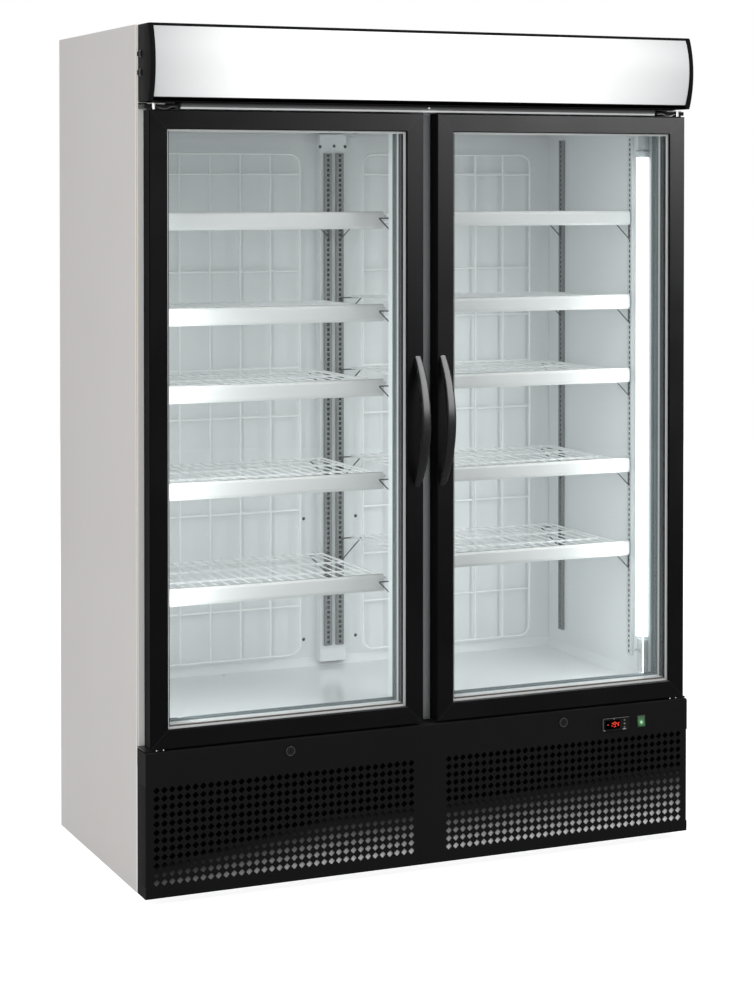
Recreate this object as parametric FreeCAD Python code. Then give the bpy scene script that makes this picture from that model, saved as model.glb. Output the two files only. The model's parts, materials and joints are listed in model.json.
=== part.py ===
import FreeCAD, Part
import math
import os

# A two-door upright display freezer. Millimetres, +Z up, the doors face -Y, +X to the right.
# The origin is at the middle of the floor area that the closed freezer takes up.

V = FreeCAD.Vector
ORIGIN = V(0, 0, 0)
X_AXIS = V(1, 0, 0)
Y_AXIS = V(0, 1, 0)
Z_AXIS = V(0, 0, 1)
QUARTER_TURN = 90.0
HALF_TURN = 180.0
FULL_TURN = 360.0
HEX_SIDES = 6
THROAT_SIDES = 20
POT_SIDES = 20
TUBE_SIDES = 12

# Fits and cuts
OVERRUN = 5.0
RUNNING_CLEARANCE = 0.05
SLIDE_CLEARANCE = 0.3
SEAL_CLEARANCE = 0.5

# Cabinet shell
BODY_WIDTH = 1370.0
BODY_DEPTH = 600.0
BODY_HEIGHT = 1912.0
FOOT_GAP = 20.0
SKIN = 0.8
SIDE_WALL = 57.0
BACK_WALL = 54.0
ROOF_WALL = 56.0
FLOOR_WALL = 65.0
HEADER_WALL = 50.0
HEADER_HEIGHT = 215.0
BACK_INSET = 6.0
LINER = 1.5
SILL_RISE = 39.0
FLOOR_DROP = 10.0
BREAKER_WIDTH = 20.0
BREAKER_DEPTH = 14.0

# Louvres of the back panel, at the height of the machine compartment
LOUVRE_COUNT = 8
LOUVRE_LENGTH = 420.0
LOUVRE_HEIGHT = 8.0
LOUVRE_PITCH = 24.0
LOUVRE_BASE = 50.0

# Cable gland
GLAND_RADIUS = 9.0
GLAND_NUT_RADIUS = 15.0
GLAND_FLANGE = 4.0
GLAND_LENGTH = 18.0
GLAND_BORE_RADIUS = 4.0
GLAND_INSET = 90.0
GLAND_HEIGHT = 260.0

# Plinth
PLINTH_HEIGHT = 321.0
PLINTH_SIDE_GAP = 1.0
PLINTH_SHEET = 1.2
PLINTH_LIP = 18.0
PLINTH_TOP_RELIEF = 8.0
VENT_PITCH = 60.0
VENT_RADIUS = 20.0
VENT_INNER_EDGE = 44.0
VENT_OUTER_EDGE = 20.0
VENT_LOW_EDGE = 28.0
VENT_HEADROOM = 65.0

# Locks in the plinth
LOCK_DROP = 26.0
LOCK_FLANGE_RADIUS = 11.5
LOCK_FLANGE = 2.5
LOCK_BODY_WIDTH = 17.0
LOCK_BODY_LENGTH = 20.0
LOCK_PLUG_RADIUS = 6.5
KEYWAY_WIDTH = 1.8
KEYWAY_HEIGHT = 8.0
KEYWAY_DEPTH = 12.0
CAM_LENGTH = 40.0
CAM_WIDTH = 14.0
CAM_SHEET = 2.5
CAM_GAP = 1.0
CAM_CLEARANCE = 1.5

# Temperature controller in the plinth
CONTROLLER_INSET = 198.5
CONTROLLER_DROP = 43.0
CONTROLLER_WIDTH = 73.0
CONTROLLER_HEIGHT = 32.0
CONTROLLER_PROUD = 4.0
CONTROLLER_RIM = 3.0
CONTROLLER_DEPTH = 45.0
WINDOW_WIDTH = 40.0
WINDOW_HEIGHT = 21.0
WINDOW_SHEET = 1.5
WINDOW_OFFSET = 10.0
KEY_WIDTH = 9.0
KEY_HEIGHT = 5.0
KEY_LENGTH = 4.0
KEY_PROUD = 0.8
KEY_TRAVEL = 0.6
KEY_PITCH = 8.5
KEY_OFFSET = 22.0

# Rocker switches
SWITCH_PROUD = 1.5
SWITCH_RIM = 3.0
SWITCH_WALL = 1.4
SWITCH_DEPTH = 14.0
SWITCH_END_GAP = 1.2
SWITCH_SIDE_GAP = 0.4
ROCKER_TILT = 7.0
ROCKER_END_PROUD = 2.0
ROCKER_MIDDLE_PROUD = 0.6
ROCKER_BACK = 3.0
ROCKER_PIVOT_DEPTH = 3.0
ROCKER_PIVOT_RADIUS = 1.5
ROCKER_PIVOT_BITE = 1.0
POWER_ROCKER_LENGTH = 25.0
POWER_ROCKER_WIDTH = 19.0
POWER_SWITCH_INSET = 129.0
POWER_SWITCH_DROP = 42.5
SIGN_ROCKER_LENGTH = 17.0
SIGN_ROCKER_WIDTH = 10.0
SIGN_SWITCH_SETBACK = 16.0
SIGN_SWITCH_LOW = 64.0
SIGN_SWITCH_PITCH = 41.0

# Lit sign box above the doors
CANOPY_HEIGHT = 170.0
CANOPY_DEPTH = 73.0
CANOPY_BULGE = 18.0
CANOPY_SIDE_GAP = 5.0
CANOPY_SHEET = 1.5
CANOPY_LIP = 8.0
CANOPY_CAP = 4.0
DIFFUSER_SHEET = 3.0
DIFFUSER_TAB = 5.0
SIGN_TUBE_RADIUS = 8.0
SIGN_TUBE_SETBACK = 36.0
SIGN_TUBE_END_GAP = 60.0
TUBE_HOLDER = 12.0

# Doors
DOOR_SIDE_GAP = 11.0
DOOR_CENTRE_GAP = 35.0
DOOR_BOTTOM_GAP = 6.0
DOOR_TOP_GAP = 18.0
FRAME_FACE = 42.0
FRAME_DEPTH = 40.0
FRAME_WEB = 30.0
FRAME_FRONT_LIP = 6.0
FRAME_BEVEL = 2.0
PANE_SHEET = 4.0
PANE_COUNT = 3
PANE_EDGE_CLEARANCE = 0.6
GLAZING_CLEARANCE = 0.2
SPACER_DEPTH = 6.0
SPACER_INSET = 36.0
SPACER_WIDTH = 13.0
GASKET_DEPTH = 20.0
GASKET_INSET = 12.5
GASKET_WIDTH = 17.0
GASKET_WAIST = 3.0

# Hinges
HINGE_INSET = 11.0
HINGE_PIN_RADIUS = 5.0
HINGE_PIN_BITE = 22.0
HINGE_BORE_SPARE = 2.0
HINGE_PLATE = 3.0
HINGE_HALF_WIDTH = 21.0
HINGE_ARM = 64.0
HINGE_NOSE = 12.0
HINGE_LEG = 35.0
HINGE_LEG_INSET = 4.0
HINGE_CANOPY_GAP = 2.0
HINGE_BOTTOM_GAP = 1.5

# Bow handles
HANDLE_REACH = 51.0
HANDLE_LENGTH = 300.0
HANDLE_BASE = 549.0
HANDLE_INSET = 7.5
HANDLE_END_WIDTH = 13.0
HANDLE_MIDDLE_WIDTH = 24.0
HANDLE_FOOT = 26.0
HANDLE_SECTION = 14.0

# Mullion and rear post
MULLION_HALF_WIDTH = 58.0
MULLION_DEPTH = 58.0
MULLION_CHAMFER = 10.0
POST_HALF_WIDTH = 35.0
POST_DEPTH = 26.0
POST_SHEET = 1.5
POST_FLOOR_GAP = 11.0
POST_CEILING_GAP = 9.0

# Shelf standards and brackets
STANDARD_WIDTH = 20.0
STANDARD_DEPTH = 8.0
STANDARD_SHEET = 1.5
STANDARD_FLOOR_GAP = 52.0
STANDARD_CEILING_GAP = 20.0
STANDARD_FRONT = 112.0
STANDARD_REAR_GAP = 77.0
STANDARD_CENTRE_OFFSET = 16.0
SLOT_PITCH = 250.0
SLOT_WIDTH = 5.0
SLOT_HEIGHT = 20.0
BRACKET_SHEET = 2.0
BRACKET_LEG = 20.0
WALL_BRACKET_WIDTH = 24.0
WALL_BRACKET_REACH = 30.0
CENTRE_BRACKET_WIDTH = 40.0
FRONT_BRACKET_REACH = 46.0
REAR_BRACKET_REACH = 22.0

# Wire shelves and price rails
SHELF_OUTER_GAP = 24.0
SHELF_INNER_OFFSET = 40.0
SHELF_FRONT = 100.0
SHELF_REAR_GAP = 46.0
SHELF_WIRE = 5.0
SHELF_GAP_COLUMNS = 10
SHELF_GAP_ROWS = 1
SHELF_RAIL_DROP = 8.0
RAIL_DEPTH = 12.0
RAIL_LIP = 3.0
RAIL_OUTER_GAP = 20.0
RAIL_INNER_OFFSET = 52.0
LEFT_RAIL_HEIGHT = 40.0
RIGHT_RAIL_HEIGHT = 35.0
LEFT_RAIL_TOP_SHARES = (0.8525, 0.692, 0.562, 0.400, 0.2225)
RIGHT_RAIL_TOP_SHARES = (0.8525, 0.700, 0.566, 0.402, 0.250)

# Wire guards in front of the back wall
GUARD_INNER_OFFSET = 84.0
GUARD_OUTER_GAP = 64.0
GUARD_STANDOFF = 14.0
GUARD_WIRE = 4.0
GUARD_FLOOR_GAP = 29.0
GUARD_CEILING_GAP = 56.0
GUARD_COLUMNS = 6
GUARD_ROWS = 3

# Side wall lamps
LAMP_FRONT = 15.0
LAMP_WIDTH = 50.0
LAMP_DEPTH = 26.0
LAMP_FLOOR_GAP = 100.0
LAMP_CEILING_GAP = 69.0
LAMP_SHOULDER = 12.0

# Base pan and levelling feet
PAN_SHEET = 2.0
PAN_EDGE = 24.0
PAN_FRONT_GAP = 4.0
BOSS_RADIUS = 12.0
BOSS_HEIGHT = 24.0
FOOT_INSET_X = 60.0
FOOT_INSET_Y = 60.0
FOOT_STUD_RADIUS = 5.0
FOOT_STUD_TOP = 24.0
FOOT_PAD_RADIUS = 22.0
FOOT_PAD_HEIGHT = 10.0

# Compressor
COMPRESSOR_CENTRE_X = 60.0
COMPRESSOR_REAR_GAP = 213.2
COMPRESSOR_RADIUS = 92.0
COMPRESSOR_WALL_HEIGHT = 110.0
COMPRESSOR_DOME = 42.0
COMPRESSOR_SEAM = 4.0
COMPRESSOR_CAP_RADIUS = 30.0
COMPRESSOR_PLATE = 3.0
COMPRESSOR_PLATE_HALF_X = 125.0
COMPRESSOR_PLATE_HALF_Y = 80.0
GROMMET_RADIUS = 12.0
GROMMET_HEIGHT = 14.0
GROMMET_INSET = 20.0

# Condenser, its shroud and fan
CONDENSER_SIDE_GAP = 75.0
CONDENSER_WIDTH = 330.0
CONDENSER_FRONT = 40.0
CONDENSER_DEPTH = 60.0
CONDENSER_HEIGHT = 240.0
CONDENSER_FINS = 15
CONDENSER_FIN = 3.0
CONDENSER_WEB = 4.0
SHROUD_SHEET = 2.0
SHROUD_RIM = 22.0
FAN_RADIUS = 100.0
FAN_TIP_GAP = 6.0
FAN_HUB_RADIUS = 26.0
FAN_HUB_LENGTH = 26.0
FAN_BLADES = 5
FAN_BLADE_CHORD = 60.0
FAN_BLADE_ROOT_CHORD = 34.0
FAN_BLADE_SHEET = 2.0
FAN_BLADE_PITCH = 28.0
FAN_SHAFT_RADIUS = 4.0
FAN_SHAFT_BITE = 18.0
FAN_BACK_GAP = 6.0
FAN_FRONT_GAP = 6.0
MOTOR_WIDTH = 60.0
MOTOR_LENGTH = 50.0
STRUT_WIDTH = 12.0
STRUT_SHEET = 6.0

# Evaporator above the ceiling tray
TRAY_SHEET = 2.0
TRAY_RIM = 16.0
TRAY_BACK_GAP = 30.0
EVAPORATOR_WIDTH = 1000.0
EVAPORATOR_DEPTH = 180.0
EVAPORATOR_HEIGHT = 110.0
EVAPORATOR_FINS = 15
EVAPORATOR_FIN = 3.0
EVAPORATOR_WEB = 4.0
EVAPORATOR_BACK_GAP = 20.0
EVAPORATOR_FAN_SETBACK = 170.0

# Places that the driving sizes give
HALF_WIDTH = BODY_WIDTH / 2
DOOR_STAND = GASKET_DEPTH + FRAME_DEPTH
FRONT_Y = (DOOR_STAND + HANDLE_REACH - BODY_DEPTH) / 2
DOOR_FACE_Y = FRONT_Y - DOOR_STAND
FRAME_BACK_Y = FRONT_Y - GASKET_DEPTH
REAR_Y = FRONT_Y + BODY_DEPTH
BACK_PANEL_Y = REAR_Y - BACK_INSET - SKIN
BASE_Z = FOOT_GAP
TOP_Z = BASE_Z + BODY_HEIGHT
PLINTH_TOP_Z = BASE_Z + PLINTH_HEIGHT
SILL_Z = PLINTH_TOP_Z + SILL_RISE
FLOOR_Z = SILL_Z - FLOOR_DROP
DECK_Z = FLOOR_Z - FLOOR_WALL
CEILING_Z = TOP_Z - HEADER_HEIGHT
ROOF_Z = TOP_Z - ROOF_WALL
CANOPY_Z = TOP_Z - CANOPY_HEIGHT
DOOR_LOW_Z = PLINTH_TOP_Z + DOOR_BOTTOM_GAP
DOOR_HIGH_Z = CANOPY_Z - DOOR_TOP_GAP
INNER_X = HALF_WIDTH - SIDE_WALL
FLANGE_X = INNER_X + BREAKER_WIDTH
SKIN_X = HALF_WIDTH - SKIN
BACK_LINER_Y = REAR_Y - BACK_WALL
INTERIOR_HEIGHT = CEILING_Z - FLOOR_Z
DOOR_OUTER_X = HALF_WIDTH - DOOR_SIDE_GAP
DOOR_INNER_X = DOOR_CENTRE_GAP / 2
HINGE_X = DOOR_OUTER_X - HINGE_INSET
HINGE_Y = FRONT_Y - GASKET_DEPTH - FRAME_DEPTH / 2
LOCK_OFFSET = (DOOR_INNER_X + DOOR_OUTER_X) / 2
LOCK_Z = PLINTH_TOP_Z - LOCK_DROP
CONTROLLER_CENTRE = HALF_WIDTH - CONTROLLER_INSET
POWER_SWITCH_CENTRE = HALF_WIDTH - POWER_SWITCH_INSET
CONDENSER_LEFT = CONDENSER_SIDE_GAP - HALF_WIDTH
CAM_FRONT_Y = DOOR_FACE_Y + LOCK_BODY_LENGTH + CAM_GAP
CAM_TIP_RADIUS = math.hypot(CAM_LENGTH, CAM_WIDTH / 2)
STANDARD_LOW_Z = FLOOR_Z + STANDARD_FLOOR_GAP
STANDARD_HIGH_Z = CEILING_Z - STANDARD_CEILING_GAP
POST_FRONT_Y = BACK_LINER_Y - POST_DEPTH
PAN_TOP_Z = BASE_Z + PAN_SHEET


def block(x0, x1, y0, y1, z0, z1):
    """A box between two corners."""
    return Part.makeBox(x1 - x0, y1 - y0, z1 - z0, V(x0, y0, z0))


def outline(points):
    """A closed wire through the points."""
    return Part.makePolygon(list(points) + [points[0]])


def prism(points, along):
    """A flat outline pushed along a vector."""
    return Part.Face(outline(points)).extrude(along)


def rod(radius, length, base, axis):
    return Part.makeCylinder(radius, length, base, axis)


def ring_points(radius, sides, base, axis):
    """The corners of an even polygon round a point, square to one of the main axes."""
    across = Y_AXIS if axis == X_AXIS else X_AXIS
    other = axis.cross(across)
    turns = [2 * math.pi * (i + 1 / 2) / sides for i in range(sides)]
    return [base + across * (radius * math.cos(a)) + other * (radius * math.sin(a)) for a in turns]


def faceted_rod(radius, length, base, axis, sides):
    """A bar with flats, such as a nut or a hub."""
    return prism(ring_points(radius, sides, base, axis), axis * length)


def netting(frame, gaps, along):
    """A flat sheet with openings: an outer wire and the wires of its gaps, pushed along a vector."""
    face = Part.makeFace([frame] + gaps, "Part::FaceMakerBullseye")
    return face.extrude(along)


def rectangle_xz(x0, x1, z0, z1, y):
    return outline([V(x0, y, z0), V(x1, y, z0), V(x1, y, z1), V(x0, y, z1)])


def rectangle_xy(x0, x1, y0, y1, z):
    return outline([V(x0, y0, z), V(x1, y0, z), V(x1, y1, z), V(x0, y1, z)])


def even_gaps(low, high, count, bar):
    """The spans between bars of one width, evenly spread from low to high, with a bar at each end."""
    clear = (high - low - bar * (count + 1)) / count
    return [(low + bar + i * (clear + bar), low + (i + 1) * (clear + bar)) for i in range(count)]


def faceted_solid(rings):
    """A solid with flat faces between successive outlines that have the same number of corners."""
    faces = [Part.Face(outline(rings[0])), Part.Face(outline(rings[-1]))]
    for low, high in zip(rings, rings[1:]):
        for i in range(len(low)):
            j = (i + 1) % len(low)
            faces.append(Part.Face(outline([low[i], low[j], high[j], high[i]])))
    solid = Part.Solid(Part.Shell(faces))
    if solid.Volume < 0:
        solid.reverse()
    return solid


def mitred_ring(section, x0, x1, z0, z1):
    """Four lengths of a profile round a rectangle, mitred at the corners. The section's points are
    (distance inward from the rectangle, y)."""
    corners = [(x0, z0, 1, 1), (x1, z0, -1, 1), (x1, z1, -1, -1), (x0, z1, 1, -1)]
    mitres = [[V(x + sx * w, y, z + sz * w) for w, y in section] for x, z, sx, sz in corners]
    return [faceted_solid([mitres[i], mitres[(i + 1) % len(mitres)]]) for i in range(len(mitres))]


def turned(shape, axis, degrees):
    copy = shape.copy()
    copy.rotate(ORIGIN, axis, degrees)
    return copy


def moved(shape, x, y, z):
    copy = shape.copy()
    copy.translate(V(x, y, z))
    return copy


def fused(first, *others):
    return first.fuse(list(others)).removeSplitter()


def both_sides(shape):
    """A shape and its mirror image across the middle of the cabinet."""
    return [shape, shape.mirror(ORIGIN, X_AXIS)]


# Cabinet shell and insulation

def side_panel():
    """Folded steel: the side and a front flange that the door seals meet."""
    side = block(SKIN_X, HALF_WIDTH, FRONT_Y, REAR_Y, BASE_Z, TOP_Z)
    flange = block(FLANGE_X, SKIN_X, FRONT_Y, FRONT_Y + SKIN, BASE_Z, TOP_Z)
    return fused(side, flange)


def top_panel():
    roof = block(-SKIN_X, SKIN_X, FRONT_Y + SKIN, BACK_PANEL_Y, TOP_Z - SKIN, TOP_Z)
    header = block(-FLANGE_X, FLANGE_X, FRONT_Y, FRONT_Y + SKIN, CEILING_Z + BREAKER_WIDTH, TOP_Z)
    return fused(roof, header)


def machine_deck():
    deck = block(-SKIN_X, SKIN_X, FRONT_Y + SKIN, BACK_PANEL_Y, DECK_Z - SKIN, DECK_Z)
    sill = block(-FLANGE_X, FLANGE_X, FRONT_Y, FRONT_Y + SKIN, DECK_Z - SKIN, SILL_Z - BREAKER_WIDTH)
    return fused(deck, sill)


def gland_place():
    return V(HALF_WIDTH - GLAND_INSET, BACK_PANEL_Y, BASE_Z + GLAND_HEIGHT)


def back_panel():
    """Upper back sheet, a louvred service cover behind the machines and two strips beside the cable gland."""
    place = gland_place()
    window_low = place.z - GLAND_RADIUS
    window_top = place.z + GLAND_RADIUS
    outside = BACK_PANEL_Y + SKIN
    slots = []
    half = LOUVRE_LENGTH / 2
    for i in range(LOUVRE_COUNT):
        low = BASE_Z + LOUVRE_BASE + i * LOUVRE_PITCH
        slots.append(rectangle_xz(-half, half, low, low + LOUVRE_HEIGHT, BACK_PANEL_Y))
    cover = netting(rectangle_xz(-SKIN_X, SKIN_X, BASE_Z, window_low, BACK_PANEL_Y), slots, V(0, SKIN, 0))
    upper = block(-SKIN_X, SKIN_X, BACK_PANEL_Y, outside, window_top, TOP_Z)
    near = block(place.x + GLAND_RADIUS, SKIN_X, BACK_PANEL_Y, outside, window_low, window_top)
    far = block(-SKIN_X, place.x - GLAND_RADIUS, BACK_PANEL_Y, outside, window_low, window_top)
    return [cover, upper, near, far]


def cable_gland():
    place = gland_place()
    outside = V(place.x, BACK_PANEL_Y + SKIN, place.z)
    inner_end = V(place.x, outside.y - GLAND_LENGTH, place.z)
    flange = faceted_rod(GLAND_NUT_RADIUS, GLAND_FLANGE, outside, Y_AXIS, HEX_SIDES)
    neck = faceted_rod(GLAND_RADIUS, GLAND_LENGTH, inner_end, Y_AXIS, HEX_SIDES)
    bore = rod(GLAND_BORE_RADIUS, GLAND_LENGTH + GLAND_FLANGE, inner_end, Y_AXIS)
    return fused(flange, neck).cut(bore)


def liner_profile():
    """Side outline of the cold room: the shelf space and the lower, set-back evaporator room above it."""
    front = FRONT_Y + BREAKER_DEPTH
    upper_front = FRONT_Y + HEADER_WALL
    return [(front, FLOOR_Z), (BACK_LINER_Y, FLOOR_Z), (BACK_LINER_Y, ROOF_Z),
            (upper_front, ROOF_Z), (upper_front, CEILING_Z), (front, CEILING_Z)]


def inner_liner():
    """White sheets that line the cold room, one for each flat wall."""
    front = FRONT_Y + BREAKER_DEPTH
    upper_front = FRONT_Y + HEADER_WALL
    outer_x = INNER_X + LINER
    side = prism([V(INNER_X, y, z) for y, z in liner_profile()], V(LINER, 0, 0))
    back = block(-outer_x, outer_x, BACK_LINER_Y, BACK_LINER_Y + LINER, FLOOR_Z, ROOF_Z)
    floor = block(-outer_x, outer_x, front, BACK_LINER_Y + LINER, FLOOR_Z - LINER, FLOOR_Z)
    roof = block(-outer_x, outer_x, upper_front - LINER, BACK_LINER_Y + LINER, ROOF_Z, ROOF_Z + LINER)
    soffit = block(-outer_x, outer_x, front, upper_front, CEILING_Z, CEILING_Z + LINER)
    soffit = soffit.cut(Part.makeCompound(both_sides(side)))
    lintel = block(-outer_x, outer_x, upper_front - LINER, upper_front, CEILING_Z + LINER, ROOF_Z)
    return both_sides(side) + [back, floor, roof, soffit, lintel]


def foam_insulation():
    """Foamed-in block between the outer skin and the liner."""
    outer_x = INNER_X + LINER
    front = FRONT_Y + BREAKER_DEPTH
    upper_front = FRONT_Y + HEADER_WALL - LINER
    body = block(-SKIN_X, SKIN_X, FRONT_Y + SKIN, BACK_PANEL_Y, DECK_Z, TOP_Z - SKIN)
    back = BACK_LINER_Y + LINER
    room = block(-outer_x, outer_x, front - OVERRUN, back, FLOOR_Z - LINER, CEILING_Z + LINER)
    evaporator_room = block(-outer_x, outer_x, upper_front, back, CEILING_Z, ROOF_Z + LINER)
    mouth = block(-FLANGE_X, FLANGE_X, FRONT_Y, front, SILL_Z - BREAKER_WIDTH, CEILING_Z + BREAKER_WIDTH)
    return body.cut([room, evaporator_room, mouth])


def breaker_frame():
    """Plastic strip between the steel flange and the liner, four mitred lengths."""
    section = [(0, FRONT_Y), (BREAKER_WIDTH, FRONT_Y),
               (BREAKER_WIDTH, FRONT_Y + BREAKER_DEPTH), (0, FRONT_Y + BREAKER_DEPTH)]
    return mitred_ring(section, -FLANGE_X, FLANGE_X, SILL_Z - BREAKER_WIDTH, CEILING_Z + BREAKER_WIDTH)


def centre_mullion():
    rear = FRONT_Y + MULLION_DEPTH
    side = MULLION_HALF_WIDTH
    corner = MULLION_HALF_WIDTH - MULLION_CHAMFER
    points = [(-side, FRONT_Y), (side, FRONT_Y), (side, rear - MULLION_CHAMFER), (corner, rear),
              (-corner, rear), (-side, rear - MULLION_CHAMFER)]
    return prism([V(x, y, SILL_Z) for x, y in points], V(0, 0, CEILING_Z - SILL_Z))


def rear_post():
    """Folded channel on the back wall that carries the inner shelf standards."""
    outer = POST_HALF_WIDTH
    inner = POST_HALF_WIDTH - POST_SHEET
    low = FLOOR_Z + POST_FLOOR_GAP
    points = [(-outer, BACK_LINER_Y), (-outer, POST_FRONT_Y), (outer, POST_FRONT_Y),
              (outer, BACK_LINER_Y), (inner, BACK_LINER_Y), (inner, POST_FRONT_Y + POST_SHEET),
              (-inner, POST_FRONT_Y + POST_SHEET), (-inner, BACK_LINER_Y)]
    return prism([V(x, y, low) for x, y in points], V(0, 0, CEILING_Z - POST_CEILING_GAP - low))


# Base pan, feet and refrigeration

def foot_places():
    x = HALF_WIDTH - FOOT_INSET_X
    return {"front_left": (-x, FRONT_Y + FOOT_INSET_Y), "front_right": (x, FRONT_Y + FOOT_INSET_Y),
            "rear_left": (-x, REAR_Y - FOOT_INSET_Y), "rear_right": (x, REAR_Y - FOOT_INSET_Y)}


def base_pan():
    """Floor of the machine compartment, with turned-up edges and a threaded boss over each foot."""
    front = FRONT_Y + PAN_FRONT_GAP
    sheet = block(-SKIN_X, SKIN_X, front, BACK_PANEL_Y, BASE_Z, PAN_TOP_Z)
    front_edge = block(-SKIN_X, SKIN_X, front, front + PAN_SHEET, BASE_Z, BASE_Z + PAN_EDGE)
    rear_edge = block(-SKIN_X, SKIN_X, BACK_PANEL_Y - PAN_SHEET, BACK_PANEL_Y, BASE_Z, BASE_Z + PAN_EDGE)
    places = [V(x, y, BASE_Z) for x, y in foot_places().values()]
    bosses = [faceted_rod(BOSS_RADIUS, BOSS_HEIGHT, place, Z_AXIS, HEX_SIDES) for place in places]
    bore_radius = FOOT_STUD_RADIUS + RUNNING_CLEARANCE
    bores = [rod(bore_radius, BOSS_HEIGHT, place, Z_AXIS) for place in places]
    return fused(sheet, front_edge, rear_edge, *bosses).cut(bores)


def levelling_foot(x, y):
    """A hexagonal pad on a threaded stud."""
    pad = faceted_rod(FOOT_PAD_RADIUS, FOOT_PAD_HEIGHT, V(x, y, 0), Z_AXIS, HEX_SIDES)
    stud = rod(FOOT_STUD_RADIUS, BASE_Z + FOOT_STUD_TOP - FOOT_PAD_HEIGHT, V(x, y, FOOT_PAD_HEIGHT), Z_AXIS)
    return fused(pad, stud)


def compressor():
    """Hermetic pot with drawn-in ends and a welded seam, on a foot plate with four rubber grommets."""
    low = GROMMET_HEIGHT
    wall_low = low + COMPRESSOR_PLATE + COMPRESSOR_DOME
    wall_high = wall_low + COMPRESSOR_WALL_HEIGHT
    middle = (wall_low + wall_high) / 2
    heights = [(low, COMPRESSOR_CAP_RADIUS), (wall_low, COMPRESSOR_RADIUS), (wall_high, COMPRESSOR_RADIUS),
               (wall_high + COMPRESSOR_DOME, COMPRESSOR_CAP_RADIUS)]
    pot = faceted_solid([ring_points(radius, POT_SIDES, V(0, 0, z), Z_AXIS) for z, radius in heights])
    seam_radius = COMPRESSOR_RADIUS + COMPRESSOR_SEAM
    seam = faceted_rod(seam_radius, COMPRESSOR_SEAM, V(0, 0, middle), Z_AXIS, POT_SIDES)
    half_x = COMPRESSOR_PLATE_HALF_X
    half_y = COMPRESSOR_PLATE_HALF_Y
    plate = block(-half_x, half_x, -half_y, half_y, low, low + COMPRESSOR_PLATE)
    grommets = [faceted_rod(GROMMET_RADIUS, GROMMET_HEIGHT,
                            V(sx * (half_x - GROMMET_INSET), sy * (half_y - GROMMET_INSET), 0), Z_AXIS, HEX_SIDES)
                for sx in (-1, 1) for sy in (-1, 1)]
    whole = fused(pot, seam, plate, *grommets)
    return moved(whole, COMPRESSOR_CENTRE_X, BACK_PANEL_Y - COMPRESSOR_REAR_GAP, PAN_TOP_Z)


def fin_comb(width, depth, height, fins, fin, web):
    """A finned block: upright fins on a foot web, one outline pushed front to back from y = 0."""
    points = [V(0, 0, 0), V(width, 0, 0)]
    pitch = (width - fin) / (fins - 1)
    for i in reversed(range(fins)):
        left = i * pitch
        points.append(V(left + fin, 0, height))
        points.append(V(left, 0, height))
        if i > 0:
            points.append(V(left, 0, web))
            points.append(V(left - pitch + fin, 0, web))
    return prism(points, V(0, depth, 0))


def condenser():
    comb = fin_comb(CONDENSER_WIDTH, CONDENSER_DEPTH, CONDENSER_HEIGHT,
                    CONDENSER_FINS, CONDENSER_FIN, CONDENSER_WEB)
    return moved(comb, CONDENSER_LEFT, FRONT_Y + CONDENSER_FRONT, PAN_TOP_Z)


def condenser_fan_place():
    """Hub front of the condenser fan: behind the middle of the finned block, blowing backwards."""
    return V(CONDENSER_LEFT + CONDENSER_WIDTH / 2,
             FRONT_Y + CONDENSER_FRONT + CONDENSER_DEPTH + SHROUD_SHEET + FAN_FRONT_GAP,
             PAN_TOP_Z + CONDENSER_HEIGHT / 2)


def fan_rotor():
    """Hub with pitched blades that narrow to their roots, about +Z from z = 0."""
    hub = faceted_rod(FAN_HUB_RADIUS, FAN_HUB_LENGTH, ORIGIN, Z_AXIS, 2 * FAN_BLADES)
    tip = FAN_BLADE_CHORD / 2
    root = FAN_BLADE_ROOT_CHORD / 2
    middle = FAN_HUB_RADIUS / 2
    tip_radius = math.sqrt(FAN_RADIUS ** 2 - tip ** 2)
    low = -FAN_BLADE_SHEET / 2
    corners = [V(middle, -root, low), V(tip_radius, -tip, low), V(tip_radius, tip, low), V(middle, root, low)]
    blade = prism(corners, V(0, 0, FAN_BLADE_SHEET))
    blade = moved(turned(blade, X_AXIS, FAN_BLADE_PITCH), 0, 0, FAN_HUB_LENGTH / 2)
    blades = [turned(blade, Z_AXIS, FULL_TURN * i / FAN_BLADES) for i in range(FAN_BLADES)]
    bore = rod(FAN_SHAFT_RADIUS + RUNNING_CLEARANCE, FAN_HUB_LENGTH, ORIGIN, Z_AXIS)
    return fused(hub, *blades).cut(bore)


def motor_spider(reach, sheet_side):
    """Motor, shaft and two struts behind a fan that stands on +Z from z = 0. The struts end at a sheet
    face at z = sheet_side, reach away from the axis."""
    motor_low = FAN_HUB_LENGTH + FAN_BACK_GAP
    side = MOTOR_WIDTH / 2
    motor = block(-side, side, -side, side, motor_low, motor_low + MOTOR_LENGTH)
    shaft_low = FAN_HUB_LENGTH - FAN_SHAFT_BITE
    shaft_length = FAN_SHAFT_BITE + FAN_BACK_GAP + MOTOR_LENGTH / 2
    shaft = rod(FAN_SHAFT_RADIUS, shaft_length, V(0, 0, shaft_low), Z_AXIS)
    strut_low = motor_low + MOTOR_LENGTH / 2
    half = STRUT_WIDTH / 2
    bar = block(-reach, reach, -half, half, strut_low, strut_low + STRUT_SHEET)
    legs = [block(low, low + STRUT_SHEET, -half, half, sheet_side, strut_low)
            for low in (-reach, reach - STRUT_SHEET)]
    return fused(motor, shaft, bar, *legs)


def facing_back(shape, place):
    """Turns a shape built along +Z so that its +Z points backwards, +Y, and puts it in place."""
    return moved(turned(shape, X_AXIS, -QUARTER_TURN), place.x, place.y, place.z)


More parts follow.
